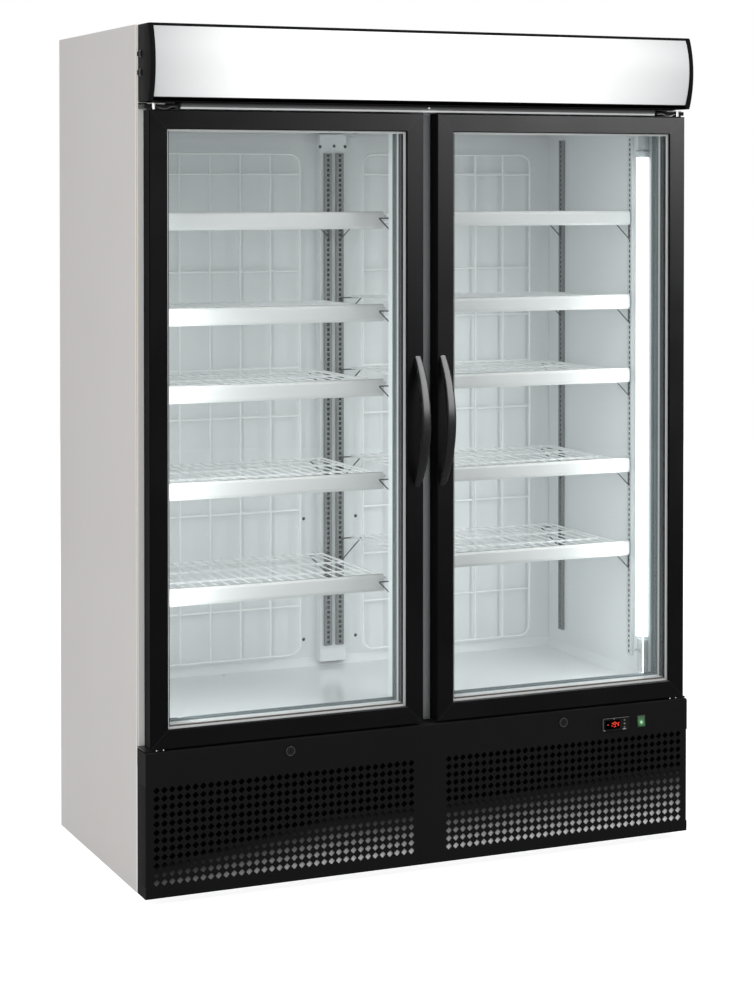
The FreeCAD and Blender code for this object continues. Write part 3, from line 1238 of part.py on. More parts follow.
def all_nodes():
    """Every piece of the freezer by name, each with its solids."""
    left_tops = rail_tops(LEFT_RAIL_TOP_SHARES)
    right_tops = rail_tops(RIGHT_RAIL_TOP_SHARES)
    nodes = {
        "left_side_panel": mirrored([side_panel()]),
        "right_side_panel": [side_panel()],
        "top_panel": [top_panel()],
        "back_panel": back_panel(),
        "cable_gland": [cable_gland()],
        "machine_deck": [machine_deck()],
        "foam_insulation": [foam_insulation()],
        "inner_liner": inner_liner(),
        "breaker_frame": breaker_frame(),
        "centre_mullion": [centre_mullion()],
        "rear_post": [rear_post()],
        "base_pan": [base_pan()],
        "compressor": [compressor()],
        "condenser": [condenser()],
        "fan_shroud": [fan_shroud()],
        "condenser_fan": [condenser_fan()],
        "evaporator_tray": [evaporator_tray()],
        "evaporator_coil": [evaporator_coil()],
        "evaporator_fan": [evaporator_fan()],
        "plinth_panel": [plinth_panel()],
        "lock_housings": [lock_housing(-1), lock_housing(1)],
        "left_lock_plug": [lock_plug(-1)],
        "right_lock_plug": [lock_plug(1)],
        "controller_housing": [controller_housing()],
        "controller_window": [window_block(0)],
        "power_switch_housing": [on_plinth(switch_housing(POWER_ROCKER_LENGTH, POWER_ROCKER_WIDTH))],
        "power_rocker": [on_plinth(switch_rocker(POWER_ROCKER_LENGTH, POWER_ROCKER_WIDTH))],
        "canopy_channel": [canopy_channel()],
        "canopy_diffuser": [canopy_diffuser()],
        "canopy_end_caps": canopy_end_caps(),
        "canopy_tube": [canopy_tube()],
        "left_door_frame": with_cam_slot(mirrored(door_frame()), -1),
        "right_door_frame": with_cam_slot(door_frame(), 1),
        "left_door_panes": mirrored(door_panes()),
        "right_door_panes": door_panes(),
        "left_door_spacers": mirrored(door_spacers()),
        "right_door_spacers": door_spacers(),
        "left_door_gasket": mirrored(door_gasket()),
        "right_door_gasket": door_gasket(),
        "left_door_handle": mirrored([door_handle()]),
        "right_door_handle": [door_handle()],
        "door_hinges": hinge_plates() + mirrored(hinge_plates()),
        "shelf_standards": shelf_standards(),
        "shelf_brackets": shelf_brackets(),
        "left_wire_shelves": mirrored([wire_shelf(top) for top in left_tops]),
        "right_wire_shelves": [wire_shelf(top) for top in right_tops],
        "left_price_rails": mirrored([price_rail(top, LEFT_RAIL_HEIGHT) for top in left_tops]),
        "right_price_rails": [price_rail(top, RIGHT_RAIL_HEIGHT) for top in right_tops],
        "back_guards": both_sides(back_guard()),
        "wall_lamps": both_sides(wall_lamp()),
    }
    for name, (x, z) in key_places().items():
        nodes["controller_key_" + name] = [controller_key(x, z)]
    for name, (x, y) in foot_places().items():
        nodes[name + "_foot"] = [levelling_foot(x, y)]
    sign_housing = switch_housing(SIGN_ROCKER_LENGTH, SIGN_ROCKER_WIDTH)
    sign_rocker = switch_rocker(SIGN_ROCKER_LENGTH, SIGN_ROCKER_WIDTH)
    places = sign_switch_places()
    nodes["canopy_switch_housings"] = [on_left_cap(sign_housing, place) for place in places]
    nodes["cabin_light_rocker"] = [on_left_cap(sign_rocker, places[0])]
    nodes["canopy_light_rocker"] = [on_left_cap(sign_rocker, places[1])]
    return nodes


os.makedirs("parts", exist_ok=True)
for node, solids in all_nodes().items():
    shape = solids[0] if len(solids) == 1 else Part.makeCompound(solids)
    shape.exportStep("parts/" + node + ".step")
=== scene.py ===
"""Dresses a two-door upright glass door freezer: folded sheets, lit sign box, glazed doors, wire fittings."""

import json
import math

import bmesh
import bpy
from mathutils import Matrix, Vector


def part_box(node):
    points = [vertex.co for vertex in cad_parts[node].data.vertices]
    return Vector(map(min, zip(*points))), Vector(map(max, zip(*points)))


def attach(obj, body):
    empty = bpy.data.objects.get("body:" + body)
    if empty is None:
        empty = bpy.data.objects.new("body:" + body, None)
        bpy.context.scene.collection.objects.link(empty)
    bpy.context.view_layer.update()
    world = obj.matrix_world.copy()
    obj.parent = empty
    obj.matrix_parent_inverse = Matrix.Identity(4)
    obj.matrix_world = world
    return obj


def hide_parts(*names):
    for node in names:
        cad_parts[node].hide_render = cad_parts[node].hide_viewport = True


bl_info = {
    "name": "Glass door freezer",
    "version": (1, 0, 0),
    "blender": (4, 5, 0),
    "location": "3D View > Sidebar > Freezer",
    "description": "Adds the finished pieces of a two-door glass door freezer to its frame",
    "category": "Object",
}

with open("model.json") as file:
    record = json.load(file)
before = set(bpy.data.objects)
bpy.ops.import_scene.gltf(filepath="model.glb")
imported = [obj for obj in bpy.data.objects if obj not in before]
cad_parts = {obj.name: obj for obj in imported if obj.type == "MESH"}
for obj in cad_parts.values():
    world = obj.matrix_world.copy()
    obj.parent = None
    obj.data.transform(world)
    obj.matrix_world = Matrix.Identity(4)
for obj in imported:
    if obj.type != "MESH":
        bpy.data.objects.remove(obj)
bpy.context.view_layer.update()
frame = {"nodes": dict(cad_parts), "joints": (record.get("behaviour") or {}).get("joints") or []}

LEFT, RIGHT = -1, 1
DOORS = ((LEFT, "left"), (RIGHT, "right"))
RAIL_TOPS = {
    LEFT: (1.5183, 1.3021, 1.1270, 0.9088, 0.6697),
    RIGHT: (1.5183, 1.3129, 1.1324, 0.9115, 0.70675),
}
RAIL_HEIGHTS = {LEFT: 0.040, RIGHT: 0.035}
FLOOR_Z, WALL_X, BACK_Y, POST_Y, ROOM_FRONT_Y = 0.370, 0.628, 0.3015, 0.2755, -0.1865
WALL_STANDARD_FRONT_Y, WALL_STANDARD_REAR_Y, CENTRE_STANDARD_X = -0.1325, 0.2245, 0.016
GUARD_BARS = (0.399, 0.524, 0.645, 0.765, 0.884, 1.003, 1.124, 1.245, 1.366, 1.487, 1.608, 1.661)
SCREWS = (
    (-0.0698, BACK_Y, 0.4357),
    (0.0724, BACK_Y, 0.4357),
    (-0.0696, BACK_Y, 0.7410),
    (0.0725, BACK_Y, 0.7400),
    (-0.0350, POST_Y, 1.6770),
    (0.0030, POST_Y, 1.6790),
    (0.0330, POST_Y, 1.6775),
)
DIGIT_STROKES = {"-": "g", "1": "bc", "9": "abcdfg", "4": "bcfg"}
STROKE_ENDS = {
    "a": (0, 2, 1, 2),
    "b": (1, 1, 1, 2),
    "c": (1, 0, 1, 1),
    "d": (0, 0, 1, 0),
    "f": (0, 1, 0, 2),
    "g": (0, 1, 1, 1),
}
SIGN_BULGE = 0.018
SPACER_OUTER, SPACER_INNER, SPACER_HEAD = 0.036, 0.0485, 0.0462
GASKET_HEAD, GASKET_FOOT, GASKET_LATCH, GASKET_HINGE = 0.0455, 0.0545, 0.0530, 0.0575
PLINTH_FIELDS = ((-0.6685, -0.0385), (0.0385, 0.6685))
FIELD_FOOT, FIELD_ROWS = 0.0463, 12
DUST_TINT = (0.36, 0.34, 0.31)
GRAIN_SCALE, GRAIN_DEPTH = 700.0, 0.0005


def colour(name, description, default):
    """A colour that the user can change."""
    return bpy.props.FloatVectorProperty(
        name=name, description=description, subtype="COLOR", size=3, min=0.0, max=1.0, default=default
    )


def length(name, description, default):
    """A length that the user can change, in metres."""
    return bpy.props.FloatProperty(
        name=name, description=description, unit="LENGTH", min=0.0, precision=4, default=default
    )


def amount(name, description, default, top=10.0):
    """A plain number that the user can change."""
    return bpy.props.FloatProperty(name=name, description=description, min=0.0, max=top, default=default)


def angle(name, description, degrees):
    """An angle that the user can change."""
    default = math.radians(degrees)
    return bpy.props.FloatProperty(name=name, description=description, subtype="ANGLE", default=default)


class FreezerColours(bpy.types.PropertyGroup):
    """Colours of the finishes"""

    cabinet_grey: colour("Cabinet grey", "Paint of the side panels", (0.73, 0.705, 0.69))
    galvanised: colour("Galvanised sheet", "Bare sheet at the back and under the cabinet", (0.55, 0.57, 0.58))
    liner_white: colour("Liner white", "Coated sheet of the cold room", (0.80, 0.83, 0.84))
    frame_black: colour("Frame black", "Anodised door profiles", (0.005, 0.005, 0.0053))
    plinth_black: colour("Plinth black", "Powder coat of the plinth", (0.0105, 0.0105, 0.011))
    plastic_black: colour("Black plastic", "Moulded end caps, handles and bezels", (0.008, 0.008, 0.0085))
    rail_white: colour("Rail white", "Price rails", (0.60, 0.62, 0.62))
    wire_white: colour("Wire white", "Coated wire of shelves and guards", (0.92, 0.935, 0.94))
    standard_grey: colour("Standard grey", "Slotted uprights", (0.22, 0.235, 0.24))
    bracket_grey: colour("Bracket grey", "Shelf brackets", (0.05, 0.055, 0.06))
    zinc: colour("Zinc", "Hinges and small metal parts", (0.62, 0.62, 0.60))
    gasket_grey: colour("Gasket grey", "Soft door seal", (0.135, 0.172, 0.183))
    sign_white: colour("Sign white", "Translucent panel of the sign box", (0.46, 0.47, 0.47))
    digit_red: colour("Digit red", "Lit numbers of the temperature display", (1.0, 0.05, 0.02))
    rocker_green: colour("Rocker green", "Lit rocker of the power switch", (0.10, 0.72, 0.16))


class FreezerDetails(bpy.types.PropertyGroup):
    """Sizes of the details"""

    sheet: length("Sheet thickness", "Folded sheet of the panels", 0.0012)
    fold_radius: length("Fold radius", "Rounding of folded edges", 0.0045)
    hole_pitch: length("Hole pitch", "Spacing of the plinth holes in a row", 0.018)
    row_pitch: length("Row pitch", "Spacing of the rows of plinth holes", 0.0184)
    hole_rim: length("Hole rim", "Metal left round each plinth hole before it is turned", 0.0034)
    shelf_pitch: length("Shelf wire pitch", "Spacing of the shelf wires", 0.027)
    shelf_wire: length("Shelf wire radius", "Radius of the thin shelf wires", 0.0016)
    guard_pitch: length("Guard wire pitch", "Spacing of the upright guard wires", 0.080)
    guard_wire: length("Guard wire radius", "Radius of the guard wires", 0.0026)
    cap_thickness: length("Cap thickness", "Front rim of the sign box end caps", 0.012)
    slot_pitch: length("Slot pitch", "Spacing of the slots in the uprights", 0.0125)


class FreezerStage(bpy.types.PropertyGroup):
    """Camera and light"""

    camera_place: bpy.props.FloatVectorProperty(
        name="Camera place",
        description="Where the camera stands",
        subtype="TRANSLATION",
        size=3,
        default=(-2.2564, -5.1206, 1.5751),
    )
    camera_yaw: angle("Camera yaw", "Turn of the camera to the right", 23.771)
    camera_pitch: angle("Camera pitch", "Tilt of the camera down", 1.05)
    focal_length: amount("Focal length", "Lens in millimetres on a 36 mm high sensor", 83.70, 400.0)
    lens_shift: bpy.props.FloatProperty(
        name="Lens shift", description="Upright shift of the lens", default=-0.27
    )
    room_light: amount("Room light", "Soft light from all sides", 0.42)
    key_light: amount("Key light", "Watts of the large lamp at the left", 80.0, 5000.0)
    fill_light: amount("Fill light", "Watts of the soft box above the front right", 45.0, 5000.0)
    back_light: amount("Back light", "Watts of the lamp behind the cabinet", 40.0, 5000.0)
    sheen_light: amount(
        "Sheen light", "Watts of the panel that only the door profiles mirror", 7800.0, 9000.0
    )
    handle_light: amount("Handle light", "Watts of the panel that only the handles mirror", 800.0, 9000.0)
    lamp_glow: amount("Lamp glow", "Brightness of the lamp covers in the cold room", 1.6, 100.0)
    lamp_light: amount("Lamp light", "Watts of each lamp in the cold room", 1.4, 100.0)
    floor_lift: amount("Floor lift", "White added to the floor where the camera sees it", 0.85)
    sign_glow: amount("Sign glow", "Brightness of the lit sign panel", 1.0)


def facing(direction):
    """The turn that brings the upright onto a direction."""
    return direction.to_track_quat("Z", "Y").to_matrix().to_4x4()


def add_box(bm, low, high):
    """Adds a box between two corners and returns its vertices."""
    low, high = Vector(low), Vector(high)
    place = Matrix.Translation((low + high) / 2) @ Matrix.Diagonal((*(high - low), 1.0))
    return bmesh.ops.create_cube(bm, size=1.0, matrix=place)["verts"]


def add_rod(bm, start, end, radius, sides=8):
    """Adds a straight round bar between two points."""
    start, end = Vector(start), Vector(end)
    along = end - start
    place = Matrix.Translation((start + end) / 2) @ facing(along)
    bmesh.ops.create_cone(
        bm, cap_ends=True, segments=sides, radius1=radius, radius2=radius, depth=along.length, matrix=place
    )


def add_screw(bm, place, radius):
    """Adds a low round screw head that looks to the front."""
    head = Matrix.Translation(place) @ Matrix.Diagonal((1, 0.5, 1, 1))
    bmesh.ops.create_uvsphere(bm, u_segments=12, v_segments=8, radius=radius, matrix=head)


def push(bm, face, along):
    """Draws a face along a direction into a solid and returns the moved vertices."""
    pushed = bmesh.ops.extrude_face_region(bm, geom=[face])["geom"]
    moved = [item for item in pushed if isinstance(item, bmesh.types.BMVert)]
    bmesh.ops.translate(bm, vec=along, verts=moved)
    return moved


def add_plate(bm, points, along):
    """Adds a flat outline pushed along a direction into a solid and returns its vertices."""
    face = bm.faces.new([bm.verts.new(point) for point in points])
    moved = push(bm, face, along)
    return list(face.verts) + moved


def add_folded(bm, points, along, thickness, radius, segments=4):
    """Adds a sheet folded at the inner points, drawn along a direction, its wall on the left of the run."""
    points = [Vector(point) for point in points]
    along = Vector(along)
    runs = [(b - a).normalized() for a, b in zip(points, points[1:])]
    sides = [along.normalized().cross(run) for run in runs]
    inner = []
    for place, point in enumerate(points):
        before = sides[max(place - 1, 0)]
        after = sides[min(place, len(sides) - 1)]
        inner.append(point + (before + after) * (thickness / (1.0 + before.dot(after))))
    verts = add_plate(bm, points + inner[::-1], along)
    wanted = points[1:-1] + inner[1:-1]
    folds = set()
    for edge in {edge for vert in verts for edge in vert.link_edges}:
        one, other = (vert.co for vert in edge.verts)
        runs_along = (other - one).cross(along).length <= 1e-9
        if runs_along and any(min((one - w).length, (other - w).length) < 1e-6 for w in wanted):
            folds.add(edge)
    if not folds:
        raise RuntimeError("no fold was found on the sheet")
    bevel(bm, list(folds), radius, segments)


def bevel(bm, edges, width, segments=2):
    """Rounds edges."""
    bmesh.ops.bevel(
        bm, geom=edges, offset=width, offset_type="OFFSET", segments=segments, profile=0.5,
        affect="EDGES", clamp_overlap=True, material=-1,
    )


def soften(bm, width, segments=2, angle=0.6):
    """Rounds every edge that turns more than an angle."""
    bevel(bm, [e for e in bm.edges if e.is_manifold and e.calc_face_angle(0.0) > angle], width, segments)


def soft_box(bm, low, high, width, segments=2):
    """Adds a box with rounded edges."""
    verts = add_box(bm, low, high)
    bevel(bm, list({edge for vert in verts for edge in vert.link_edges}), width, segments)


def spin_wire(bm, start, heading, middle, axis, angle, wire, steps, sides=8):
    """Turns a circle of wire round a middle, into a bend or a closed ring."""
    place = Matrix.Translation(start) @ facing(heading)
    verts = bmesh.ops.create_circle(bm, cap_ends=False, segments=sides, radius=wire, matrix=place)["verts"]
    geom = verts + list({edge for vert in verts for edge in vert.link_edges})
    closed = angle > math.pi
    bmesh.ops.spin(bm, geom=geom, cent=middle, axis=axis, angle=angle, steps=steps, use_merge=closed)


def make_piece(bm, name, slot, material, *nodes, body="cabinet", flat=None):
    """Turns the worked mesh into a piece that rides on a body and stands for the nodes."""
    bmesh.ops.recalc_face_normals(bm, faces=bm.faces[:])
    mesh = bpy.data.meshes.new(name)
    bm.to_mesh(mesh)
    bm.free()
    mesh.materials.append(material)
    mesh.shade_smooth()
    mesh.set_sharp_from_angle(angle=math.radians(35))
    if flat:
        for face in mesh.polygons:
            face.use_smooth = face.area < flat
    piece = bpy.data.objects.new(name, mesh)
    bpy.context.scene.collection.objects.link(piece)
    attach(piece, body)
    if nodes:
        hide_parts(*nodes)


def paint_node(name, material):
    """Gives a CAD node its finish."""
    node = frame["nodes"][name]
    node.data.materials.clear()
    node.data.materials.append(material)


def dial(tree, node, inputs):
    """Feeds a node's inputs, by name or number, with sockets or plain values."""
    for name, value in inputs.items():
        if isinstance(value, bpy.types.NodeSocket):
            tree.links.new(value, node.inputs[name])
        else:
            node.inputs[name].default_value = value


def add_node(tree, kind, inputs=None, **settings):
    """Adds a shader node with its settings and its inputs."""
    node = tree.nodes.new("ShaderNode" + kind)
    for name, value in settings.items():
        setattr(node, name, value)
    dial(tree, node, inputs or {})
    return node


def reckon(tree, operation, *values):
    """Reckons with sockets or plain values."""
    return add_node(tree, "Math", dict(enumerate(values)), operation=operation).outputs[0]


def remap(tree, value, start, end, first=0.0, last=1.0):
    """Maps a range of values to another, held at its ends."""
    inputs = {"Value": value, "From Min": start, "From Max": end, "To Min": first, "To Max": last}
    return add_node(tree, "MapRange", inputs).outputs["Result"]


def blend(tree, mask, one, other):
    """Mixes a colour socket with a plain colour."""
    inputs = {0: mask, 6: one, 7: (*other, 1.0)}
    return add_node(tree, "Mix", inputs, data_type="RGBA").outputs[2]


def colour_ramp(tree, value, stops):
    """Turns a value into colours between stops."""
    ramp = add_node(tree, "ValToRGB", {"Fac": value})
    elements = ramp.color_ramp.elements
    for number, (spot, level) in enumerate(stops):
        stop = elements[number] if number < 2 else elements.new(spot)
        stop.position = spot
        stop.color = (*level, 1.0)
    return ramp.outputs["Color"]


def object_place(tree):
    """The place on the object."""
    return add_node(tree, "TexCoord").outputs["Object"]


def axes(tree, vector):
    """The three parts of a vector."""
    return add_node(tree, "SeparateXYZ", {0: vector}).outputs


def normal_axes(tree):
    """The three parts of the surface's direction."""
    return axes(tree, add_node(tree, "NewGeometry").outputs["Normal"])


def new_group(name, inputs, outputs):
    """Starts a shader node group and returns it with what it is given and what it puts out."""
    group = bpy.data.node_groups.new(name, "ShaderNodeTree")
    for direction, sockets in (("INPUT", inputs), ("OUTPUT", outputs)):
        for socket in sockets:
            kind = "NodeSocketVector" if socket == "Vector" else "NodeSocketFloat"
            group.interface.new_socket(name=socket, in_out=direction, socket_type=kind)
    return group, group.nodes.new("NodeGroupInput").outputs, group.nodes.new("NodeGroupOutput").inputs


def use_group(tree, make, inputs):
    """Places a node group in a material, made the first time it is used."""
    group = bpy.data.node_groups.get(make.__name__) or make(make.__name__)
    return add_node(tree, "Group", inputs, node_tree=group).outputs


def mitred_profile(name):
    """The group that tells rails from stiles on a mitred frame and marks the joints between them."""
    group, given, put = new_group(name, ("Vector", "Low X", "High X", "Low Z", "High Z"), ("Rail", "Joint"))
    place = axes(group, given["Vector"])
    reach = {"X": reckon(group, "ABSOLUTE", place["X"]), "Z": place["Z"]}
    inset = {}
    for axis, value in reach.items():
        below = reckon(group, "SUBTRACT", value, given["Low " + axis])
        above = reckon(group, "SUBTRACT", given["High " + axis], value)
        inset[axis] = reckon(group, "MINIMUM", below, above)
    lead = reckon(group, "SUBTRACT", inset["Z"], inset["X"])
    group.links.new(reckon(group, "LESS_THAN", lead, 0.0), put["Rail"])
    apart = reckon(group, "ABSOLUTE", lead)
    group.links.new(reckon(group, "LESS_THAN", apart, 0.0009), put["Joint"])
    return group


def surface_variation(name):
    """The group that gives a finish its clouding, its grain and its wiped patches."""
    group, given, put = new_group(name, ("Vector", "Clouds", "Grain"), ("Tone", "Relief", "Wipe"))
    faster = reckon(group, "MULTIPLY", given["Clouds"], 2.7)
    for result, scale, detail, distortion in (
        ("Tone", given["Clouds"], 3.0, 0.0),
        ("Relief", given["Grain"], 1.0, 0.0),
        ("Wipe", faster, 4.0, 0.6),
    ):
        inputs = {"Vector": given["Vector"], "Scale": scale, "Detail": detail, "Distortion": distortion}
        group.links.new(add_node(group, "TexNoise", inputs).outputs["Fac"], put[result])
    return group


def settled_dust(name):
    """The group that masks faces looking up, broken by noise, where dust settles."""
    group, given, put = new_group(name, ("Vector", "Amount"), ("Mask",))
    upward = remap(group, normal_axes(group)["Z"], 0.7, 1.0)
    noise = add_node(group, "TexNoise", {"Vector": given["Vector"], "Scale": 9.0, "Detail": 6.0})
    thin = reckon(group, "MULTIPLY", upward, noise.outputs["Fac"])
    group.links.new(reckon(group, "MULTIPLY", thin, given["Amount"]), put["Mask"])
    return group


def shade(tint, factor):
    """A colour made lighter or darker, as a shader colour."""
    return (*(min(max(part * factor, 0.0), 1.0) for part in tint), 1.0)


def bare_material(name):
    """A material with its Principled shader."""
    material = bpy.data.materials.new(name)
    material.use_nodes = True
    return material, material.node_tree, material.node_tree.nodes["Principled BSDF"]


def fed_input(material, name):
    """The tree of a finish, an input of its shader and the socket that feeds it."""
    tree = material.node_tree
    socket = tree.nodes["Principled BSDF"].inputs[name]
    return tree, socket, socket.links[0].from_socket


def kept(make):
    """Makes a finish only once: later calls find it by its name."""

    def found(name, *values, **settings):
        return bpy.data.materials.get(name) or make(name, *values, **settings)

    return found


@kept
def finish(
    name, tint, roughness, metallic=0.0, tone=0.05, clouds=2.0, relief=0.08, spread=0.10, specular=0.5,
    dust=0.0,
):
    """A procedural finish on Object coordinates: clouded colour, grain, wiped gloss and settled dust."""
    material, tree, surface = bare_material(name)
    place = object_place(tree)
    varied = use_group(tree, surface_variation, {"Vector": place, "Clouds": clouds, "Grain": GRAIN_SCALE})
    tones = {0: varied["Tone"], 6: shade(tint, 1.0 - tone), 7: shade(tint, 1.0 + tone)}
    painted = add_node(tree, "Mix", tones, data_type="RGBA").outputs[2]
    if dust:
        dust_and_painted_light = use_group(tree, settled_dust, {"Vector": place, "Amount": dust})
        painted = blend(tree, dust_and_painted_light["Mask"], painted, DUST_TINT)
    smooth, rough = max(roughness - spread / 2, 0.02), min(roughness + spread / 2, 1.0)
    bump = add_node(
        tree, "Bump", {"Strength": relief, "Distance": GRAIN_DEPTH, "Height": varied["Relief"]}
    )
    inputs = {
        "Base Color": painted,
        "Roughness": remap(tree, varied["Wipe"], 0.3, 0.7, smooth, rough),
        "Normal": bump.outputs["Normal"],
        "Metallic": metallic,
        "Specular IOR Level": specular,
    }
    dial(tree, surface, inputs)
    return material


@kept
def glow(name, tint, strength):
    """A lit plastic with an even glow."""
    material, tree, surface = bare_material(name)
    lit = (*tint, 1.0)
    inputs = {"Base Color": lit, "Emission Color": lit, "Emission Strength": strength, "Roughness": 0.35}
    dial(tree, surface, inputs)
    return material


def ramp_along(tree, axis, start, end, stops):
    """A colour ramp along an Object axis between two places."""
    return colour_ramp(tree, remap(tree, axes(tree, object_place(tree))[axis], start, end), stops)


def greys(stops):
    """Ramp stops of plain grey levels."""
    return [(spot, (level,) * 3) for spot, level in stops]


def sign_finish(colours, stage):
    """Milky panel lit from behind, a little dimmer towards its ends."""
    material, tree, surface = bare_material("sign_panel_white")
    low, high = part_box("canopy_diffuser")
    full = (0.7, 0.7, 0.7)
    stops = ((0.0, (0.12, 0.125, 0.13)), (0.19, full), (0.75, full), (1.0, (0.14, 0.145, 0.15)))
    inputs = {
        "Base Color": (*colours.sign_white, 1.0),
        "Emission Color": ramp_along(tree, "X", low.x, high.x, stops),
        "Emission Strength": stage.sign_glow,
        "Roughness": 0.4,
    }
    dial(tree, surface, inputs)
    return material


def mat_finish():
    """Sheet behind the plinth holes with painted light that makes it pale at its foot and painted shade that
    makes it black above; the pale part reaches higher at the right.
    """
    material, tree, surface = bare_material("backing_painted_light")
    # How high the painted light reaches, rising towards the right.
    heights = ((0.0, 0.0), (0.31, 0.70), (0.54, 0.70), (1.0, 1.0))
    lean = reckon(tree, "MULTIPLY", ramp_along(tree, "X", -0.66, 0.66, greys(heights)), 0.092)
    drop = reckon(tree, "SUBTRACT", axes(tree, object_place(tree))["Z"], lean)
    levels = (0.85, 0.67, 0.47, 0.32, 0.19, 0.075, 0.02, 0.001)
    stops = greys((place / (len(levels) - 1), level) for place, level in enumerate(levels))
    # Painted light and shade: pale at the foot, black higher up.
    dust_and_painted_light = colour_ramp(tree, remap(tree, drop, -0.0365, 0.0923), stops)
    dial(tree, surface, {"Base Color": dust_and_painted_light, "Roughness": 0.9, "Specular IOR Level": 0.0})
    return material


@kept
def cabinet_finish(name, colours):
    """Cabinet paint, paler on the front lip as painted light and palest where the sheet turns round a fold,
    as a painted highlight.
    """
    material = finish(name, colours.cabinet_grey, 0.5, tone=0.02, clouds=1.2, specular=0.12)
    tree, base, painted = fed_input(material, "Base Color")
    normal = normal_axes(tree)
    # Faces that look to the front get a paler colour: painted light.
    lip = reckon(tree, "LESS_THAN", normal["Y"], -0.8)
    painted = blend(tree, lip, painted, (0.82, 0.80, 0.79))
    # Where the sheet turns round the fold it gets a near-white painted highlight.
    turn = reckon(tree, "ABSOLUTE", reckon(tree, "MULTIPLY", normal["X"], normal["Y"]))
    fold = remap(tree, turn, 0.04, 0.30)
    tree.links.new(blend(tree, fold, painted, (0.96, 0.95, 0.94)), base)
    return material


@kept
def liner_finish(name, colours):
    """White liner coat, wiped to a gloss on the floor."""
    material = finish(name, colours.liner_white, 0.30, tone=0.02, clouds=1.5, specular=0.4, spread=0.01)
    tree, rough, wiped = fed_input(material, "Roughness")
    upward = reckon(tree, "GREATER_THAN", normal_axes(tree)["Z"], 0.95)
    share = reckon(tree, "SUBTRACT", 1.0, reckon(tree, "MULTIPLY", upward, 0.6))
    tree.links.new(reckon(tree, "MULTIPLY", wiped, share), rough)
    return material


@kept
def profile_finish(name, colours):
    """Anodised door profile, its rails a touch paler than its stiles as a painted sheen and a fine pale line
    at each mitre as a painted highlight.
    """
    material = finish(name, colours.frame_black, 0.34, tone=0.2, clouds=1.5, specular=0.006, dust=0.05)
    tree, base, painted = fed_input(material, "Base Color")
    low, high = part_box("right_door_frame")
    sides = {"Low X": low.x, "High X": high.x, "Low Z": low.z, "High Z": high.z}
    mitre = use_group(tree, mitred_profile, {"Vector": object_place(tree), **sides})
    # The rails get a paler copy of the black as a painted sheen.
    rails = blend(tree, mitre["Rail"], painted, (0.006, 0.006, 0.0063))
    # The mitre lines get a paler painted highlight.
    tree.links.new(blend(tree, mitre["Joint"], rails, (0.016, 0.016, 0.0165)), base)
    return material


def skirt_finish():
    """Black coat of the strip under the sign box, greyer along its lower edge as painted light."""
    material, tree, surface = bare_material("skirt_painted_light")
    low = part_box("canopy_channel")[0].z
    # Painted light: the ramp turns the black greyer towards the lower edge.
    black = ramp_along(tree, "Z", low - 0.0105, low, greys(((0.0, 0.24), (0.45, 0.08), (1.0, 0.015))))
    dial(tree, surface, {"Base Color": black, "Roughness": 0.45, "Specular IOR Level": 0.15})
    return material


@kept
def rocker_finish(name, colours):
    """Lit rocker, white in its middle and deep green at its rim."""
    material, tree, surface = bare_material(name)
    low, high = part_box("power_rocker")
    middle = (low + high) / 2
    centre = (middle.x, low.y, middle.z - 0.002)
    apart = add_node(tree, "VectorMath", {0: object_place(tree), 1: centre}, operation="DISTANCE")
    green = colours.rocker_green
    stops = ((0.10, (0.75, 1.0, 0.82)), (0.40, shade(green, 0.18)[:3]), (0.85, shade(green, 0.02)[:3]))
    spread = remap(tree, apart.outputs["Value"], 0.0, (high.z - low.z) / 2)
    inputs = {
        "Emission Color": colour_ramp(tree, spread, stops),
        "Base Color": shade(green, 0.08),
        "Emission Strength": 1.0,
        "Roughness": 0.3,
    }
    dial(tree, surface, inputs)
    return material


def pane_finish():
    """Clear glazing that lets the room light through."""
    material, tree, surface = bare_material("clear_pane")
    tint = (0.985, 0.995, 0.992, 1.0)
    dial(tree, surface, {"Base Color": tint, "Transmission Weight": 1.0, "Roughness": 0.0, "IOR": 1.18})
    rays = add_node(tree, "LightPath").outputs
    unseen = reckon(tree, "MAXIMUM", rays["Is Shadow Ray"], rays["Is Diffuse Ray"])
    clear = add_node(tree, "BsdfTransparent").outputs["BSDF"]
    mix = add_node(tree, "MixShader", {0: unseen, 1: surface.outputs["BSDF"], 2: clear})
    tree.links.new(mix.outputs[0], tree.nodes["Material Output"].inputs["Surface"])
    return material


